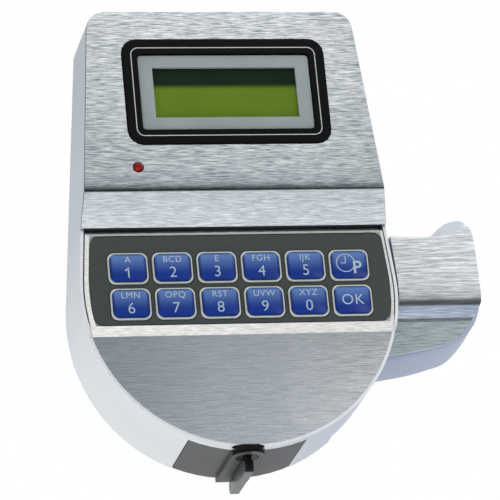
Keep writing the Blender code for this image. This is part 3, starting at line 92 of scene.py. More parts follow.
def colours_along(tree, distance, stops):
    """Colours that stand at real distances along an axis, given in order."""
    low, high = stops[0][0], stops[-1][0]
    share = add(tree, "MapRange", {"From Min": low, "From Max": high}, {"Value": distance})
    ramp = add(tree, "ValToRGB", links={"Fac": share.outputs[0]})
    for _ in stops[2:]:
        ramp.color_ramp.elements.new(1)
    for stop, (at, colour) in zip(ramp.color_ramp.elements, stops):
        stop.position = (at - low) / (high - low)
        stop.color = linear(colour)
    return ramp.outputs[0]


def add_stage_plane(name, middle, width, height, tilt, swing, material):
    """A flat card of the studio, which isn't part of the object."""
    shape = bmesh.new()
    place = Matrix.Translation(middle) @ Matrix.Rotation(swing, 4, "Z") \
        @ Matrix.Rotation(tilt, 4, "X") @ Matrix.Diagonal((width, height, 1, 1))
    bmesh.ops.create_grid(shape, x_segments=1, y_segments=1, size=0.5, matrix=place)
    mesh = bpy.data.meshes.new(name)
    shape.to_mesh(mesh)
    shape.free()
    mesh.materials.append(material)
    made = bpy.data.objects.new(name, mesh)
    bpy.context.scene.collection.objects.link(made)
    return made


def card_light(name, side, up, strength, stops):
    """Light of a card: colours along the axis of up, fading to white towards both sides."""
    made = bpy.data.materials.new(name)
    made.use_nodes = True
    tree = made.node_tree
    tree.nodes.clear()
    axis, left, right = side
    middle, half = (left + right) / 2, (right - left) / 2
    place = add(tree, "TexCoord").outputs["Object"]
    parts = add(tree, "SeparateXYZ", links={"Vector": place}).outputs
    colours = colours_along(tree, parts[up], stops)
    off = add(tree, "Math", {1: middle}, {0: parts[axis]}, operation="SUBTRACT")
    off = add(tree, "Math", links={0: off.outputs[0]}, operation="ABSOLUTE")
    fade = add(tree, "MapRange", {"From Min": half * CARD_CORE, "From Max": half},
               {"Value": off.outputs[0]}, interpolation_type="SMOOTHSTEP")
    shown = add(tree, "Mix", {7: linear(WHITE)}, {0: fade.outputs[0], 6: colours},
                data_type="RGBA")
    glow = add(tree, "Emission", {"Strength": strength}, {"Color": shown.outputs[2]})
    add(tree, "OutputMaterial", links={"Surface": glow.outputs[0]})
    return made


def add_softbox(name, place, size, watts, aim, colour):
    """A round lamp that looks at a point of the unit."""
    light_data = bpy.data.lights.new(name, "AREA")
    light_data.shape = "DISK"
    light_data.size = size
    light_data.energy = watts
    light_data.color = linear(colour)[:3]
    light = bpy.data.objects.new(name, light_data)
    light.location = place
    light.rotation_euler = (Vector(aim) - Vector(place)).to_track_quat("-Z", "Y").to_euler()
    bpy.context.scene.collection.objects.link(light)


world = bpy.data.worlds.new("studio")
world.use_nodes = True
world.node_tree.nodes["Background"].inputs["Color"].default_value = linear(WHITE)
bpy.context.scene.world = world

floor_paint = bpy.data.materials.new("pale_floor_paint")
floor_paint.use_nodes = True
shader = floor_paint.node_tree.nodes["Principled BSDF"]
shader.inputs["Base Color"].default_value = linear("#f6f6f4")
shader.inputs["Roughness"].default_value = 0.8
shader.inputs["Emission Color"].default_value = linear(WHITE)
shader.inputs["Emission Strength"].default_value = FLOOR_GLOW
add_stage_plane("floor", (0, 0, FLOOR_HEIGHT), FLOOR_SIZE, FLOOR_SIZE, 0, 0, floor_paint)

front_light = card_light("front_card_light", ("X", -0.75, 0.85), "Z", 1.35, (
    (-0.32, WHITE), (-0.17, WHITE), (-0.13, "#5a5c5e"), (-0.09, "#26282a"), (0.03, "#303234"),
    (0.06, "#a2a8ae"), (0.09, "#a8aeb4"), (0.12, "#6e7478"), (0.15, "#8a9094"),
    (0.19, "#c8ced2"), (0.40, WHITE)))
lever_light = card_light("lever_card_light", ("X", 0.05, 0.50), "Z", 2.6, (
    (0.0, WHITE), (0.12, WHITE)))
left_light = card_light("left_card_light", ("Y", -0.9, 1.1), "Z", 1.0, (
    (-0.1, WHITE), (0.02, "#6e7a86"), (1.3, WHITE)))
blue_light = card_light("blue_card_light", ("Y", -0.5, 0.4), "X", 1.0, (
    (0.13, WHITE), (0.17, "#6c86bc"), (0.8, WHITE)))
for name, middle, width, height, tilt, swing, light in (
        ("front_card", (0.05, -0.35, 0.04), 1.6, 0.72, UPRIGHT, 0, front_light),
        ("lever_card", (0.275, -0.34, 0.065), 0.29, 0.09, UPRIGHT, 0, lever_light),
        ("left_card", (-0.6, 0.1, 0.6), 2.0, 1.4, UPRIGHT, FACING_RIGHT, left_light),
        ("blue_card", (0.465, -0.05, -0.25), 0.67, 0.9, 0, 0, blue_light)):
    card = add_stage_plane(name, middle, width, height, tilt, swing, light)
    card.visible_camera = False

add_softbox("softbox_above", (-0.2, -0.7, 0.95), 0.8, 1.5, (0, 0, 0), WHITE)
add_softbox("softbox_below_left", (-0.7, -0.25, -0.5), 0.5, 3.0, (-0.03, 0, -0.05), "#fffdfb")

# Side wall: one cast band round the housing, with a satin silver paint that looks almost
# white. Its front rim is rounded, painted paler as a highlight, and stands just behind the steel
# covers.
DISPLAY_TILT = math.radians(6.2)
SPINDLE_HEIGHT = -21.25 * MM
FRONT_FRAME = Matrix.Translation((0, 0, SPINDLE_HEIGHT)) @ Matrix.Rotation(-DISPLAY_TILT, 4, "X")
WELD = 0.001 * MM
FLAT_ANGLE = math.radians(0.5)
SHARP_ANGLE = math.radians(32)
NO_SHARP_ANGLE = math.radians(180)
PAINT_GRIT = 0.5 * MM
PAINT_CLOUD = 30 * MM
PAINT_RELIEF = 0.02 * MM
RIM_FRONT = -30.3 * MM
RIM_SET_BACK = -29.2 * MM
RIM_REACH = 0.05 * MM
RIM_BESIDE_KEYPAD = 22 * MM
RIM_HIGHLIGHT_TOP = 20 * MM
RIM_FACING = -0.6


def new_material(name):
    """A material with its nodes and its shader."""
    made = bpy.data.materials.new(name)
    made.use_nodes = True
    return made, made.node_tree, made.node_tree.nodes["Principled BSDF"]


def dress(piece, material, body, slot_name, *replaced):
    """Gives a piece its material and its body, and hides the parts it stands for. Its slot_name
    is not used.
    """
    piece.data.materials.clear()
    piece.data.materials.append(material)
    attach(piece, body)
    if replaced:
        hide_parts(*replaced)
    return piece


def new_piece(name, shape, place=Matrix.Identity(4)):
    """A finished object from a bmesh, with its place in its mesh and its faces outwards."""
    bmesh.ops.remove_doubles(shape, verts=shape.verts, dist=WELD)
    shape.transform(place)
    bmesh.ops.recalc_face_normals(shape, faces=shape.faces)
    mesh = bpy.data.meshes.new(name)
    shape.to_mesh(mesh)
    shape.free()
    mesh.shade_smooth()
    mesh.set_sharp_from_angle(angle=SHARP_ANGLE)
    made = bpy.data.objects.new(name, mesh)
    bpy.context.scene.collection.objects.link(made)
    return made


def softened(name, node, width, segments=3, change=None):
    """A copy of a solid with its loose triangles merged and its sharp edges rounded."""
    shape = bmesh.new()
    shape.from_mesh(nodes[node].data)
    bmesh.ops.remove_doubles(shape, verts=shape.verts, dist=WELD)
    bmesh.ops.dissolve_limit(shape, angle_limit=FLAT_ANGLE, verts=shape.verts,
                             edges=shape.edges)
    if change:
        change(shape)
    made = new_piece(name, shape)
    made.data.set_sharp_from_angle(angle=NO_SHARP_ANGLE)
    rounding = made.modifiers.new("rounding", "BEVEL")
    rounding.width = width
    rounding.segments = segments
    rounding.limit_method = "ANGLE"
    rounding.angle_limit = SHARP_ANGLE
    flat_faces = made.modifiers.new("flat_faces", "WEIGHTED_NORMAL")
    flat_faces.mode = "FACE_AREA"
    flat_faces.weight = 100
    return made


def paint_faces(piece, material, choose):
    """Gives a second material to the faces that choose picks by middle and normal."""
    piece.data.materials.append(material)
    slot_index = len(piece.data.materials) - 1
    to_front = FRONT_FRAME.inverted()
    for face in piece.data.polygons:
        if choose(to_front @ face.center, to_front.to_3x3() @ face.normal):
            face.material_index = slot_index


def toned(tree, tone, axis, stops):
    """Multiplies a tone by colours placed along one axis of the object, in order."""
    if not stops:
        return tone
    place = add(tree, "TexCoord").outputs["Object"]
    along = add(tree, "SeparateXYZ", links={"Vector": place}).outputs[axis]
    return add(tree, "VectorMath", links={0: tone, 1: colours_along(tree, along, stops)},
               operation="MULTIPLY").outputs[0]


# Satin silver lacquer on a cast alloy: pale and slightly blue, with a soft sheen and a grit
# that is drawn coarser than the real one, so that it shows
def satin_paint(name, dark, light, heights=(), widths=()):
    """Silver lacquer with grit and faint clouds, toned by height and sideways."""
    made, tree, shader = new_material(name)
    place = add(tree, "TexCoord").outputs["Object"]
    grit = add(tree, "TexNoise", {"Scale": 1 / PAINT_GRIT, "Detail": 2}, {"Vector": place})
    cloud = add(tree, "TexNoise", {"Scale": 1 / PAINT_CLOUD, "Detail": 1}, {"Vector": place})
    tone = add(tree, "Mix", {6: linear(dark), 7: linear(light)}, {0: cloud.outputs[0]},
               data_type="RGBA").outputs[2]
    bump = add(tree, "Bump", {"Strength": 0.08, "Distance": PAINT_RELIEF},
               {"Height": grit.outputs[0]})
    tone = toned(tree, toned(tree, tone, "Z", heights), "X", widths)
    tree.links.new(tone, shader.inputs["Base Color"])
    tree.links.new(bump.outputs[0], shader.inputs["Normal"])
    shader.inputs["Metallic"].default_value = 0.25
    shader.inputs["Roughness"].default_value = 0.38
    return made


# Its tones by height and sideways are painted: painted shade that darkens the wall towards its
# top, and a painted blue reflection on its right side
wall_paint = satin_paint("satin_silver_paint", "#c8cdd3", "#d2d6da", (
    (-70 * MM, "#f2f2f2"), (-30 * MM, WHITE), (5 * MM, "#dde2e6"), (50 * MM, "#c8cfd4")), (
    (12 * MM, WHITE), (30 * MM, "#eef3fb"), (44 * MM, "#eaf0fa")))

# The same lacquer on the rim's front faces, painted paler there as a highlight
rim_highlight_paint = satin_paint("rim_painted_highlight", "#eef0f4", "#f8fafc")


def lower_rim(shape):
    """Sets the wall's rim back beside the keypad, so that the cover's edge stands free."""
    to_front = FRONT_FRAME.inverted()
    for vertex in shape.verts:
        place = to_front @ vertex.co
        if abs(place.y - RIM_FRONT) < RIM_REACH and place.z < RIM_BESIDE_KEYPAD:
            place.y = RIM_SET_BACK
            vertex.co = FRONT_FRAME @ place


wall = softened("wall_band", "side_shell", 0.18 * MM, 2, lower_rim)
dress(wall, wall_paint, "housing", "satin_silver", "side_shell")
# Painted highlight: the rim's faces that look forward, in its lower part, get the paler lacquer
paint_faces(wall, rim_highlight_paint,
            lambda middle, normal: normal.y < RIM_FACING and middle.z < RIM_HIGHLIGHT_TOP)

# Display hood and lower cover: stainless sheet, folded at its edges and brushed from side to
# side. The hood's lines are coarse and lively, the cover's fine and even. Real grinding lines
# are finer than the picture can show, so all are drawn as coarse as they need to be seen.
HOOD_BEND_HEIGHT = 14.9 * MM
GRIND_RELIEF = 0.05 * MM
COVER_EDGE = 50.6 * MM
COVER_SPREAD = 0.38 * MM
COVER_REACH = 0.15 * MM
PLATEAU_FOOT = -9 * MM
SIDE_LEAN = math.radians(5.1)
STEP_FACING = -0.42
SIDE_FACING = 0.8
FOLD_BACK = -30 * MM
FOLD_TOP = 26 * MM
BEVEL_BACK = -28.3 * MM
BEVEL_FACING = (-0.95, -0.2)


# Stainless steel, brushed: thin light and dark lines, with a sheen that breaks up along them
def brushed_steel(name, dark, light, line, length, roughness, relief, heights=(), widths=()):
    """Grinding lines along X, a line high and a length long, toned by height and sideways."""
    made, tree, shader = new_material(name)
    place = add(tree, "TexCoord").outputs["Object"]
    stretched = add(tree, "Mapping", {"Scale": (1 / length, 1 / line, 1 / line)},
                    {"Vector": place})
    lines = add(tree, "TexNoise", {"Scale": 1.0, "Detail": 3, "Roughness": 0.7},
                {"Vector": stretched.outputs[0]})
    share = add(tree, "MapRange", {"From Min": 0.34, "From Max": 0.66},
                {"Value": lines.outputs[0]})
    tone = add(tree, "Mix", {6: linear(dark), 7: linear(light)}, {0: share.outputs[0]},
               data_type="RGBA").outputs[2]
    tone = toned(tree, toned(tree, tone, "Z", heights), "X", widths)
    polish = add(tree, "MapRange", {"To Min": roughness + 0.08, "To Max": roughness - 0.04},
                 {"Value": share.outputs[0]})
    bump = add(tree, "Bump", {"Strength": relief, "Distance": GRIND_RELIEF},
               {"Height": lines.outputs[0]})
    tree.links.new(tone, shader.inputs["Base Color"])
    tree.links.new(polish.outputs[0], shader.inputs["Roughness"])
    tree.links.new(bump.outputs[0], shader.inputs["Normal"])
    shader.inputs["Metallic"].default_value = 1.0
    return made


# Painted shade on the hood: dark along and below the bend between the display face and the step,
# lightening up the face, and a little darker towards both sides
hood_steel = brushed_steel(
    "coarse_brushed_steel", "#7d868b", WHITE, line=0.25 * MM, length=4.8 * MM,
    roughness=0.24, relief=0.28, heights=(
        (HOOD_BEND_HEIGHT - 0.9 * MM, "#8a9092"), (HOOD_BEND_HEIGHT + 0.4 * MM, "#8a9092"),
        (HOOD_BEND_HEIGHT + 2.2 * MM, "#e8ebec"), (HOOD_BEND_HEIGHT + 7 * MM, WHITE),
        (HOOD_BEND_HEIGHT + 24 * MM, WHITE)),
    widths=((-50 * MM, "#f8f8f8"), (-24 * MM, WHITE), (26 * MM, WHITE), (52 * MM, "#f4f4f4")))
# The step's downward faces get a brighter copy of the same brushed steel, with weaker lines:
# painted light
lit_step_finish = brushed_steel(
    "painted_lit_step", "#a9b1b7", "#dbe0e4", line=0.25 * MM, length=5 * MM,
    roughness=0.24, relief=0.1)
# Painted shade on the cover: darker towards the top of its lower face and towards both sides,
# most on the right
cover_steel = brushed_steel(
    "fine_brushed_steel", "#bcc4ca", WHITE, line=0.24 * MM, length=7 * MM,
    roughness=0.26, relief=0.16,
    heights=((-66 * MM, WHITE), (-48 * MM, "#f0f0f0"), (-33 * MM, "#e6e6e6")),
    widths=((-50 * MM, "#e4e6e8"), (-10 * MM, WHITE), (20 * MM, "#f4f4f4"),
            (48 * MM, "#d2d2d2")))

# Stainless steel with a painted highlight: the plateau's bevelled edges and the edges of the
# lever's skin, painted brighter than the faces, with a warm cast and short deep lines
bright_edge_highlight, tree, shader = new_material("painted_highlight_steel")
place = add(tree, "TexCoord").outputs["Object"]
stretched = add(tree, "Mapping", {"Scale": (1 / (3 * MM), 1 / (0.3 * MM), 1 / (0.3 * MM))},
                {"Vector": place})
lines = add(tree, "TexNoise", {"Scale": 1.0, "Detail": 3}, {"Vector": stretched.outputs[0]})
tone = add(tree, "MapRange", {"From Min": 0.35, "From Max": 0.65}, {"Value": lines.outputs[0]})
tone = add(tree, "Mix", {6: linear("#d6d4cc"), 7: linear("#fffffc")}, {0: tone.outputs[0]},
           data_type="RGBA")
tree.links.new(tone.outputs[2], shader.inputs["Base Color"])
shader.inputs["Roughness"].default_value = 0.45
shader.inputs["Metallic"].default_value = 0.15


def mottled(name, dark, light, spot, detail, roughness, metallic=0.0):
    """A finish of two tones in spots of a real size, and of two roughnesses if it has a pair."""
    made, tree, shader = new_material(name)
    place = add(tree, "TexCoord").outputs["Object"]
    spots = add(tree, "TexNoise", {"Scale": 1 / spot, "Detail": detail}, {"Vector": place})
    tone = add(tree, "Mix", {6: linear(dark), 7: linear(light)}, {0: spots.outputs[0]},
               data_type="RGBA")
    tree.links.new(tone.outputs[2], shader.inputs["Base Color"])
    if isinstance(roughness, tuple):
        polish = add(tree, "MapRange", {"To Min": roughness[0], "To Max": roughness[1]},
                     {"Value": spots.outputs[0]})
        tree.links.new(polish.outputs[0], shader.inputs["Roughness"])
    else:
        shader.inputs["Roughness"].default_value = roughness
    shader.inputs["Metallic"].default_value = metallic
    return made, tree, shader, spots.outputs[0]


# Stainless steel, dark and dull with faint stains: painted shade on the hood's side edges, in the
# recess under the hood and on the right edge of the lever's skin
dark_edge_shade = mottled("painted_shade_steel", "#303436", "#4a4f52", spot=2 * MM, detail=3,
                       roughness=0.5, metallic=0.6)[0]


def spread_cover(shape):
    """Moves the cover's outer edge out, until it just clears the wall's rim."""
    to_front = FRONT_FRAME.inverted()
    for vertex in shape.verts:
        place = to_front @ vertex.co
        side = 1 if place.x > 0 else -1
        if place.z < COVER_EDGE * math.sin(SIDE_LEAN):
            out = Vector((place.x, 0, place.z))
            reach = out.length
            out.normalize()
        else:
            out = Vector((side * math.cos(SIDE_LEAN), 0, math.sin(SIDE_LEAN)))
            reach = abs(place.x) * math.cos(SIDE_LEAN) + place.z * math.sin(SIDE_LEAN)
        if abs(reach - COVER_EDGE) < COVER_REACH and place.z < PLATEAU_FOOT:
            vertex.co = FRONT_FRAME @ (place + out * COVER_SPREAD)


hood = softened("hood_sheet", "display_hood", 0.4 * MM)
dress(hood, hood_steel, "housing", "brushed_steel", "display_hood")
paint_faces(hood, lit_step_finish,
            lambda middle, normal: normal.z < STEP_FACING and middle.y < FOLD_BACK)
# Painted shade: the hood's side edges and its fold in the recess get the dark steel
paint_faces(hood, dark_edge_shade, lambda middle, normal: abs(normal.x) > SIDE_FACING
            or (middle.y > FOLD_BACK and middle.z < FOLD_TOP))
cover = softened("cover_sheet", "lower_cover", 0.15 * MM, 2, spread_cover)
dress(cover, cover_steel, "housing", "brushed_steel", "lower_cover")
# Painted highlight: the plateau's bevelled edges that look forward and sideways get the bright
# steel
paint_faces(cover, bright_edge_highlight, lambda middle, normal: middle.y < BEVEL_BACK
            and BEVEL_FACING[0] < normal.y < BEVEL_FACING[1])

# Display: a gloss black frame with a thin printed silver line, and behind its clear lens a
# light grey mask round the yellow-green cell, whose upper third lies in the frame's shade.
DISPLAY_MIDDLE = 66.3 * MM
DISPLAY_DEPTH = 34 * MM
BEZEL_FACE = -36.8 * MM
PRINT = 0.04 * MM
LINE_WIDTH = 61.4 * MM
LINE_HEIGHT = 31.0 * MM
LINE_CORNER = 2.6 * MM
LINE_BORDER = 0.28 * MM
LINE_SINK = 0.01 * MM
SHADE_EDGE = 68.9 * MM
SHADE_ABOVE = 1.0 * MM
SHADE_BELOW = 1.2 * MM
CORNER_STEPS = 6
FACE_VIEW = Matrix(((1, 0, 0, 0), (0, 0, -1, 0), (0, 1, 0, 0), (0, 0, 0, 1)))


def rounded_plate(width, height, corner, thickness, edge=0.0):
    """A plate about the origin with round corners, its back at zero and its face above."""
    shape = bmesh.new()
    bmesh.ops.create_cube(shape, size=1, matrix=Matrix.Translation((0, 0, thickness / 2))
                          @ Matrix.Diagonal((width, height, thickness, 1)))
    uprights = [e for e in shape.edges if abs(e.verts[0].co.z - e.verts[1].co.z) > thickness / 2]
    bmesh.ops.bevel(shape, geom=uprights, offset=corner, offset_type="OFFSET",
                    segments=CORNER_STEPS, profile=0.5, affect="EDGES", material=-1)
    if edge:
        rim = [e for e in shape.edges if all(v.co.z > thickness * 0.99 for v in e.verts)]
        bmesh.ops.bevel(shape, geom=rim, offset=edge, offset_type="OFFSET", segments=3,
                        profile=0.5, affect="EDGES", material=-1)
    return shape


def rounded_frame(width, height, corner, border, thickness):
    """A flat frame with round corners: a plate whose face is inset and then taken out."""
    shape = rounded_plate(width, height, corner, thickness)
    faces = [f for f in shape.faces if abs(f.normal.z) > 0.9]
    bmesh.ops.inset_individual(shape, faces=faces, thickness=border, use_even_offset=True)
    rims = [e for f in faces for e in f.edges]
    bmesh.ops.delete(shape, geom=faces, context="FACES_ONLY")
    bmesh.ops.bridge_loops(shape, edges=rims)
    return shape


def on_face(x, z, face):
    """Places a plate on the front: its middle at x and z, its back at the level of face."""
    return FRONT_FRAME @ Matrix.Translation((x, face, z)) @ FACE_VIEW


def refinish(node, material):
    """Gives a solid that is carried over as it is its finished material."""
    nodes[node].data.materials.clear()
    nodes[node].data.materials.append(material)


# Acrylic, moulded in gloss black: deep and shiny, with a faint haze that varies the shine
gloss_black, tree, shader = new_material("gloss_black_acrylic")
place = add(tree, "TexCoord").outputs["Object"]
haze = add(tree, "TexNoise", {"Scale": 1 / (8 * MM), "Detail": 3}, {"Vector": place})
polish = add(tree, "MapRange", {"To Min": 0.06, "To Max": 0.16}, {"Value": haze.outputs[0]})
tree.links.new(polish.outputs[0], shader.inputs["Roughness"])
shader.inputs["Base Color"].default_value = linear("#060607")
shader.inputs["Specular IOR Level"].default_value = 0.1

# Silver screen print: pale and a little metallic, with the grain of the ink, drawn coarser
# than it is
silver_print = mottled("silver_screen_print", "#c0c7c0", "#d6dcd4", spot=0.2 * MM, detail=2,
                       roughness=0.45, metallic=0.3)[0]

# Card, printed matt grey: flat and even, with soft clouds
grey_card = mottled("matt_grey_card", "#bdc1c2", "#cbcfd2", spot=12 * MM, detail=2,
                    roughness=0.6)[0]

# Liquid crystal cell: a yellow-green reflector with a fine ripple, dark along its top where
# the frame shades it
cell_glass, tree, shader = new_material("liquid_crystal_cell")
place = add(tree, "TexCoord").outputs["Object"]
height = add(tree, "SeparateXYZ", links={"Vector": place}).outputs["Z"]
edge_height = (SPINDLE_HEIGHT + SHADE_EDGE * math.cos(DISPLAY_TILT)
               + DISPLAY_DEPTH * math.sin(DISPLAY_TILT))
shade = add(tree, "MapRange", {"From Min": edge_height - SHADE_BELOW,
                               "From Max": edge_height + SHADE_ABOVE},
            {"Value": height}, interpolation_type="SMOOTHSTEP")
rows = add(tree, "Mapping", {"Scale": (1 / (8 * MM), 1 / (0.5 * MM), 1 / (0.5 * MM))},
           {"Vector": place})
ripple = add(tree, "TexNoise", {"Scale": 1.0, "Detail": 3}, {"Vector": rows.outputs[0]})
lit = add(tree, "Mix", {6: linear("#7a982c"), 7: linear("#88a430")}, {0: ripple.outputs[0]},
          data_type="RGBA")
tone = add(tree, "Mix", {7: linear("#203225")}, {0: shade.outputs[0], 6: lit.outputs[2]},
           data_type="RGBA")
tree.links.new(tone.outputs[2], shader.inputs["Base Color"])
shader.inputs["Roughness"].default_value = 0.4
shader.inputs["Specular IOR Level"].default_value = 0.1

# Acrylic, clear and thin, so it bends nothing: it only dims a little, with a tint that wiping
# leaves uneven
clear_acrylic, tree, shader = new_material("clear_acrylic")
place = add(tree, "TexCoord").outputs["Object"]
wiping = add(tree, "TexNoise", {"Scale": 1 / (14 * MM), "Detail": 2}, {"Vector": place})
tint = add(tree, "Mix", {6: linear("#eef0ef"), 7: linear("#f6f8f7")}, {0: wiping.outputs[0]},
           data_type="RGBA")
clear = add(tree, "BsdfTransparent", links={"Color": tint.outputs[2]})
tree.links.new(clear.outputs[0], tree.nodes["Material Output"].inputs["Surface"])

bezel = softened("display_frame", "display_bezel", 0.25 * MM)
dress(bezel, gloss_black, "housing", "black_gloss", "display_bezel")
line = new_piece("display_line",
                 rounded_frame(LINE_WIDTH, LINE_HEIGHT, LINE_CORNER, LINE_BORDER, PRINT),
                 on_face(0, DISPLAY_MIDDLE, BEZEL_FACE + LINE_SINK))
dress(line, silver_print, "housing", "black_gloss")
refinish("lcd_mask", grey_card)
refinish("lcd_glass", cell_glass)
refinish("display_lens", clear_acrylic)

# Status lamp: a red 3 mm lamp of tinted resin, pushed into the hood from behind, whose dome
# stands a little out of its hole.

# Epoxy resin, cast in deep red: a small bright highlight over a dark, uneven depth
lamp_resin, tree, shader = mottled("red_lamp_resin", "#7a0d0a", "#9c170f", spot=1.2 * MM,
                                   detail=1, roughness=0.15)[:3]
shader.inputs["Specular IOR Level"].default_value = 0.2
refinish("status_led", lamp_resin)

# Keypad: a dark grey printed film in a recess of the cover, with twelve keys. Each key is a
# silver-rimmed blue lens that carries its letters above and its figure below.
KEY_COLUMNS = 6
KEY_WIDTH = 13.0 * MM
KEY_HEIGHT = 10.5 * MM
KEY_CORNER = 2.2 * MM
KEY_FACE = -31.0 * MM
KEY_THICKNESS = 2.1 * MM
KEY_EDGE = 0.12 * MM
KEY_RIM = 0.46 * MM
CAP_RISE = 0.4 * MM
CAP_EDGE = 0.34 * MM
CAP_SINK = 0.05 * MM
KEY_STEP_X = 14.5 * MM
KEY_STEP_Z = 12.05 * MM
KEY_ROW = 7.7 * MM
LETTER_SPACING = 1.08
FIGURE_SIZE, FIGURE_WEIGHT, FIGURE_DROP = 5.2 * MM, -0.035 * MM, 1.7 * MM
LETTER_SIZE, LETTER_WEIGHT, LETTER_RISE = 3.0 * MM, -0.01 * MM, 2.75 * MM
WORD_SIZE, WORD_WEIGHT = 5.0 * MM, -0.02 * MM
P_SIZE, P_WEIGHT, P_PLACE = 6.0 * MM, 0.1 * MM, (2.5 * MM, -1.1 * MM, 0)
FLAG_LENGTH, FLAG_WIDTH, FLAG_TURN = 1.5 * MM, 0.5 * MM, math.radians(215)
FLAG_PLACE = Matrix.Translation((0.15 * MM, 1.65 * MM, 0))
DIAL_SIZE, DIAL_CORNER, DIAL_LINE = 6.3 * MM, 3.14 * MM, 0.3 * MM
DIAL_PLACE = Matrix.Translation((-1.2 * MM, 0.6 * MM, 0))
DIAL_HANDS = ((math.pi, 1.5 * MM), (math.pi / 2, 2.4 * MM))
LEGENDS = (("1", "A"), ("2", "BCD"), ("3", "E"), ("4", "FGH"), ("5", "IJK"), ("clock", ""),
           ("6", "LMN"), ("7", "OPQ"), ("8", "RST"), ("9", "UVW"), ("0", "XYZ"), ("ok", ""))

# Polyester film, printed dark grey: matt, with a fine pebbled speckle
panel_film, tree, shader, speckle = mottled("dark_grey_film", "#383e3c", "#484f4d",
                                            spot=0.6 * MM, detail=3, roughness=0.55)
bump = add(tree, "Bump", {"Strength": 0.15, "Distance": 0.03 * MM}, {"Height": speckle})
tree.links.new(bump.outputs[0], shader.inputs["Normal"])
shader.inputs["Specular IOR Level"].default_value = 0.3

# Acrylic, printed blue from behind: a deep colour with a painted highlight towards the key's top
# and painted shade round its edge. The pattern lies on the key's own map, so all keys look alike.
blue_lens, tree, shader = new_material("blue_key_acrylic")
place = add(tree, "UVMap").outputs[0]
height = add(tree, "SeparateXYZ", links={"Vector": place}).outputs["Y"]
top_highlight = add(tree, "MapRange", {"From Min": 0.25, "From Max": 1.05, "To Max": 1.0},
            {"Value": height}, interpolation_type="SMOOTHSTEP")
tone = add(tree, "Mix", {6: linear("#12358c"), 7: linear("#6488c4")}, {0: top_highlight.outputs[0]},
           data_type="RGBA")
from_middle = add(tree, "VectorMath", {1: (0.5, 0.5, 0)}, {0: place}, operation="SUBTRACT")
from_middle = add(tree, "VectorMath", links={0: from_middle.outputs[0]}, operation="ABSOLUTE")
edges = add(tree, "SeparateXYZ", links={"Vector": from_middle.outputs[0]}).outputs
edge = add(tree, "Math", links={0: edges["X"], 1: edges["Y"]}, operation="MAXIMUM")
rim_shade = add(tree, "MapRange", {"From Min": 0.36, "From Max": 0.47},
                {"Value": edge.outputs[0]}, interpolation_type="SMOOTHSTEP")
edge_shaded_tone = add(tree, "Mix", {7: linear("#0b1f5e")}, {0: rim_shade.outputs[0], 6: tone.outputs[2]},
           data_type="RGBA")
tree.links.new(edge_shaded_tone.outputs[2], shader.inputs["Base Color"])
shader.inputs["Roughness"].default_value = 0.22
shader.inputs["Specular IOR Level"].default_value = 0.25

# Pale blue ink of the letters: matt and slightly uneven
pale_ink = mottled("pale_legend_ink", "#a9bacb", "#bccbd8", spot=0.3 * MM, detail=1,
                   roughness=0.5)[0]


def lettering(text, size, weight):
    """Printed letters as a flat mesh about the origin."""
    words = bpy.data.curves.new("lettering", "FONT")
    words.body = text
    words.size = size
    words.align_x = "CENTER"
    words.align_y = "CENTER"
    words.extrude = PRINT / 2
    words.offset = weight
    words.space_character = LETTER_SPACING
    writing = bpy.data.objects.new("lettering", words)
    bpy.context.scene.collection.objects.link(writing)
    bpy.context.view_layer.update()
    mesh = bpy.data.meshes.new_from_object(
        writing.evaluated_get(bpy.context.evaluated_depsgraph_get()))
    bpy.data.objects.remove(writing, do_unlink=True)
    shape = bmesh.new()
    shape.from_mesh(mesh)
    bpy.data.meshes.remove(mesh)
    return shape


def join_shape(shape, other, place):
    """Adds another bmesh to a shape, moved to its place."""
    other.transform(place)
    mesh = bpy.data.meshes.new("joined")
    other.to_mesh(mesh)
    other.free()
    shape.from_mesh(mesh)
    bpy.data.meshes.remove(mesh)


def stroke(length, width, turn):
    """A thin printed stroke that starts at the origin and runs along its turn."""
    shape = bmesh.new()
    bmesh.ops.create_cube(shape, size=1, matrix=Matrix.Rotation(turn, 4, "Z")
                          @ Matrix.Translation((length / 2, 0, 0))
                          @ Matrix.Diagonal((length, width, PRINT, 1)))
    return shape


def clock_print():
    """A clock's round dial with two hands, and a P that laps over its rim."""
    shape = lettering("P", P_SIZE, P_WEIGHT)
    bmesh.ops.translate(shape, verts=shape.verts, vec=P_PLACE)
    dial = rounded_frame(DIAL_SIZE, DIAL_SIZE, DIAL_CORNER, DIAL_LINE, PRINT)
    join_shape(shape, dial, DIAL_PLACE)
    for turn, length in DIAL_HANDS:
        join_shape(shape, stroke(length, DIAL_LINE, turn), DIAL_PLACE)
    return shape


def figure_print(figure, letters):
    """A figure with its letters above. The 1 gets a flag, which its plain form lacks."""
    shape = lettering(figure, FIGURE_SIZE, FIGURE_WEIGHT)
    if figure == "1":
        join_shape(shape, stroke(FLAG_LENGTH, FLAG_WIDTH, FLAG_TURN), FLAG_PLACE)
    bmesh.ops.translate(shape, verts=shape.verts, vec=(0, -FIGURE_DROP, 0))
    join_shape(shape, lettering(letters, LETTER_SIZE, LETTER_WEIGHT),
               Matrix.Translation((0, LETTER_RISE, 0)))
    return shape


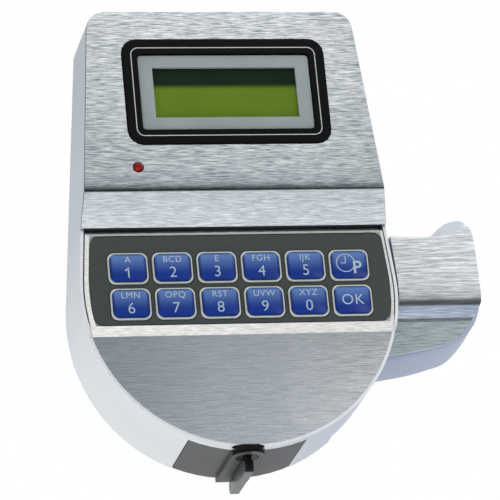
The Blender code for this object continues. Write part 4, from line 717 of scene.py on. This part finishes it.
panel = softened("keypad_film", "keypad_panel", 0.12 * MM, 2)
dress(panel, panel_film, "housing", "panel_grey", "keypad_panel")
for index, (figure, letters) in enumerate(LEGENDS):
    row, column = divmod(index, KEY_COLUMNS)
    x = (column - (KEY_COLUMNS - 1) / 2) * KEY_STEP_X
    z = KEY_ROW - row * KEY_STEP_Z
    body = "button_" + figure
    rim = new_piece("key_%s_rim" % figure,
                    rounded_plate(KEY_WIDTH, KEY_HEIGHT, KEY_CORNER, KEY_THICKNESS, KEY_EDGE),
                    on_face(x, z, KEY_FACE + KEY_THICKNESS))
    dress(rim, silver_print, body, "key_blue", "key_" + figure)
    shape = rounded_plate(KEY_WIDTH - 2 * KEY_RIM, KEY_HEIGHT - 2 * KEY_RIM,
                          KEY_CORNER, CAP_RISE, CAP_EDGE)
    layer = shape.loops.layers.uv.new("UVMap")
    for face in shape.faces:
        for loop in face.loops:
            loop[layer].uv = (loop.vert.co.x / KEY_WIDTH + 0.5, loop.vert.co.y / KEY_HEIGHT + 0.5)
    cap = new_piece("key_%s_cap" % figure, shape, on_face(x, z, KEY_FACE + CAP_SINK))
    dress(cap, blue_lens, body, "key_blue")
    if figure == "clock":
        shape = clock_print()
    elif figure == "ok":
        shape = lettering("OK", WORD_SIZE, WORD_WEIGHT)
    else:
        shape = figure_print(figure, letters)
    legend = new_piece("key_%s_legend" % figure, shape,
                       on_face(x, z, KEY_FACE + CAP_SINK - CAP_RISE))
    dress(legend, pale_ink, body, "key_blue")

# Swing lever: a cast body in the wall's silver paint, with a brushed steel skin on its
# stepped front. It hangs on the arm of the spindle and turns downwards.
LEVER_BEND = (-28.0 * MM, -1.4 * MM)
BEND_REACH = 0.02 * MM
BEND_RADIUS = 1.3 * MM
BEND_STEPS = 6
SKIN_EDGE_TOP = 21.25 * MM
EDGE_FACING = 0.5
DARK_EDGE_FACING = 0.6
DARK_EDGE_LOWEST = -0.4

# Stainless steel, brushed: fine even lines, with painted shade in dark bands along the skin's two
# bends, a painted bluish reflection on its slope and a little painted shade on its lower face
lever_steel = brushed_steel(
    "lever_brushed_steel", "#aab2b7", WHITE, line=0.3 * MM, length=7 * MM,
    roughness=0.42, relief=0.25, heights=(
        (SPINDLE_HEIGHT - 20 * MM, "#ccd6d8"), (SPINDLE_HEIGHT - 7.2 * MM, "#c4ced0"),
        (SPINDLE_HEIGHT - 6.7 * MM, "#8c9294"), (SPINDLE_HEIGHT - 6.0 * MM, "#8c9294"),
        (SPINDLE_HEIGHT - 5.6 * MM, "#e6eef6"), (SPINDLE_HEIGHT - 2.6 * MM, "#d8e2ec"),
        (SPINDLE_HEIGHT - 2.1 * MM, "#767676"), (SPINDLE_HEIGHT - 1.3 * MM, "#767676"),
        (SPINDLE_HEIGHT + 0.2 * MM, "#dedede"), (SPINDLE_HEIGHT + 5 * MM, WHITE)))

# The wall's lacquer on the lever's casting, a little bluer, with painted shade and a painted blue
# reflection that darken it towards the bottom
lever_paint = satin_paint("bluish_silver_paint", "#d0d6de", "#d8dee6", (
    (SPINDLE_HEIGHT - 20 * MM, "#c2c8d8"), (SPINDLE_HEIGHT + 6 * MM, "#c8d0e0"),
    (SPINDLE_HEIGHT + 15 * MM, WHITE)))


def round_bend(shape):
    """Rounds the skin's outer bend, between its upper face and the sloping band."""
    bend = [e for e in shape.edges
            if all(abs(v.co.y - LEVER_BEND[0]) < BEND_REACH
                   and abs(v.co.z - SPINDLE_HEIGHT - LEVER_BEND[1]) < BEND_REACH
                   for v in e.verts)]
    bmesh.ops.bevel(shape, geom=bend, offset=BEND_RADIUS, offset_type="OFFSET",
                    segments=BEND_STEPS, profile=0.5, affect="EDGES", material=-1)


lever = softened("lever_casting", "lever_body", 0.5 * MM)
dress(lever, lever_paint, "lever", "satin_silver", "lever_body")
skin = softened("lever_sheet", "lever_skin", 0.2 * MM, 2, round_bend)
dress(skin, lever_steel, "lever", "brushed_steel", "lever_skin")
# Painted highlight on the skin's edges that face left or down, and painted shade on those that
# face right
paint_faces(skin, bright_edge_highlight, lambda middle, normal: abs(normal.y) < EDGE_FACING
            and (normal.x < -EDGE_FACING or normal.z < -EDGE_FACING)
            and middle.z < SPINDLE_HEIGHT + SKIN_EDGE_TOP)
paint_faces(skin, dark_edge_shade, lambda middle, normal: normal.x > DARK_EDGE_FACING
            and normal.z > DARK_EDGE_LOWEST)

# Insert of the bottom wall: a curved plastic cover with a raised plate round the keyhole and
# a lip, moulded with it, that laps over the rim's front in a flat arch.
MOULD_GRAIN = 0.25 * MM
MOULD_RELIEF = 0.02 * MM
LIP_STEPS = 32
LIP_MIDDLE = -1.9 * MM
LIP_HALF_WIDTH = 5.3 * MM
LIP_ENDS = -51.85 * MM
LIP_RISE = 0.95 * MM
LIP_DROP = 0.8 * MM
LIP_FRONT = -27.95 * MM
LIP_BACK = -27.4 * MM
FRONT_FACING = -0.1

# ABS, moulded dark grey: half matt, with a fine moulded grain and faint clouds
moulded_grey, tree, shader = mottled("moulded_grey_plastic", "#323436", "#3e4042",
                                     spot=15 * MM, detail=1, roughness=0.5)[:3]
place = add(tree, "TexCoord").outputs["Object"]
grain = add(tree, "TexNoise", {"Scale": 1 / MOULD_GRAIN, "Detail": 2}, {"Vector": place})
bump = add(tree, "Bump", {"Strength": 0.2, "Distance": MOULD_RELIEF},
           {"Height": grain.outputs[0]})
tree.links.new(bump.outputs[0], shader.inputs["Normal"])

# ABS, moulded black, almost without a shine: the black parts inside, and painted shade on the
# faces that look forward
black_plastic_and_shade, tree, shader, grain = mottled("black_plastic_and_painted_shade", "#070708", "#0f1011",
                                             spot=MOULD_GRAIN, detail=2, roughness=0.45)
bump = add(tree, "Bump", {"Strength": 0.15, "Distance": MOULD_RELIEF}, {"Height": grain})
tree.links.new(bump.outputs[0], shader.inputs["Normal"])
shader.inputs["Specular IOR Level"].default_value = 0.15

insert = softened("bottom_insert", "bottom_cover", 0.1 * MM, 2)
dress(insert, moulded_grey, "housing", "insert_grey", "bottom_cover")
plate = softened("keyhole_plate", "key_escutcheon", 0.15 * MM, 2)
dress(plate, moulded_grey, "housing", "insert_grey", "key_escutcheon")
# Painted shade: the faces of the insert and the plate that look forward get the black
for piece in (insert, plate):
    paint_faces(piece, black_plastic_and_shade, lambda middle, normal: normal.y < FRONT_FACING)

# The lip is black all over: painted shade
shape = bmesh.new()
bmesh.ops.create_cone(shape, cap_ends=True, segments=LIP_STEPS, radius1=1, radius2=1, depth=1)
for vertex in shape.verts:
    across, up, forward = vertex.co
    vertex.co = (LIP_MIDDLE + LIP_HALF_WIDTH * across, LIP_FRONT if forward > 0 else LIP_BACK,
                 LIP_ENDS + (LIP_RISE if up > 0 else LIP_DROP) * up)
lip = new_piece("insert_lip", shape, FRONT_FRAME)
dress(lip, black_plastic_and_shade, "housing", "insert_grey")

# Key: a flat key of nickel-plated steel, half in the plug of the lock in the insert. Its edge
# that looks forward gets the black, as painted shade from the lip.
KEY_FACING = -0.5

# Nickel plate on steel: a grey metal with worn patches that shine more or less
nickel = mottled("nickel_plate", "#4c5053", "#676b6f", spot=2.5 * MM, detail=4,
                 roughness=(0.22, 0.42), metallic=1.0)[0]

key = softened("flat_key", "lock_key", 0.35 * MM)
dress(key, nickel, "override_key", "plated_steel", "lock_key")
paint_faces(key, black_plastic_and_shade, lambda middle, normal: normal.y < KEY_FACING)

# Plated steel parts: the base plate, the spindle with its arm, the lock's cylinder and the
# small turned parts and screws, all stamped or turned from mild steel.

# Zinc plate on steel, passivated: a bluish grey metal with faint blooms
zinc_plate = mottled("zinc_plated_steel", "#9aa1a6", "#bcc3c6", spot=9 * MM, detail=4,
                     roughness=(0.28, 0.45), metallic=1.0)[0]
for name in ("base_plate", "spindle", "hub_arm", "retaining_ring", "lever_screw_1",
             "lever_screw_2", "standoff_1", "standoff_2", "standoff_3", "standoff_4",
             "board_screw_1", "board_screw_2", "board_screw_3", "board_screw_4",
             "cylinder_body", "cylinder_clip", "lock_cam", "cam_screw"):
    refinish(name, zinc_plate)

# Bush and friction washer of the spindle: turned and punched from brass, pressed into and
# laid on the base plate.

# Brass, turned: a warm yellow metal with small dull patches
turned_brass = mottled("turned_brass", "#a58345", "#c9a765", spot=1.5 * MM, detail=4,
                       roughness=0.3, metallic=1.0)[0]
refinish("spindle_bush", turned_brass)
refinish("friction_washer", turned_brass)

# Circuit boards of the display, the electronics and the keypad: glass cloth laminate under a
# green solder mask, screwed or clipped in behind the hood and the cover.

# Solder mask on glass cloth: half gloss green, through which the weave shows faintly
solder_mask, tree, shader = new_material("green_solder_mask")
place = add(tree, "TexCoord").outputs["Object"]
weave = add(tree, "TexWave", {"Scale": 1 / (6 * MM), "Distortion": 1.0}, {"Vector": place})
tone = add(tree, "Mix", {6: linear("#1f5a34"), 7: linear("#2b6b40")}, {0: weave.outputs[0]},
           data_type="RGBA")
tree.links.new(tone.outputs[2], shader.inputs["Base Color"])
shader.inputs["Roughness"].default_value = 0.35
for name in ("lcd_board", "main_board", "keypad_board"):
    refinish(name, solder_mask)

# Parts inside that are moulded or cased in black or grey: header, sounder, battery with its
# clip and tray, switch mat and flat cable. The plug of the lock has a blackened face.

# Silicone rubber, pressed: matt grey with a little dust
silicone = mottled("grey_silicone", "#6b6d6d", "#7c7e7e", spot=1.5 * MM, detail=2,
                   roughness=0.75)[0]
for name in ("pin_header", "sounder", "battery", "battery_clip", "battery_tray", "lock_plug"):
    refinish(name, black_plastic_and_shade)
refinish("switch_mat", silicone)
refinish("keypad_cable", grey_card)
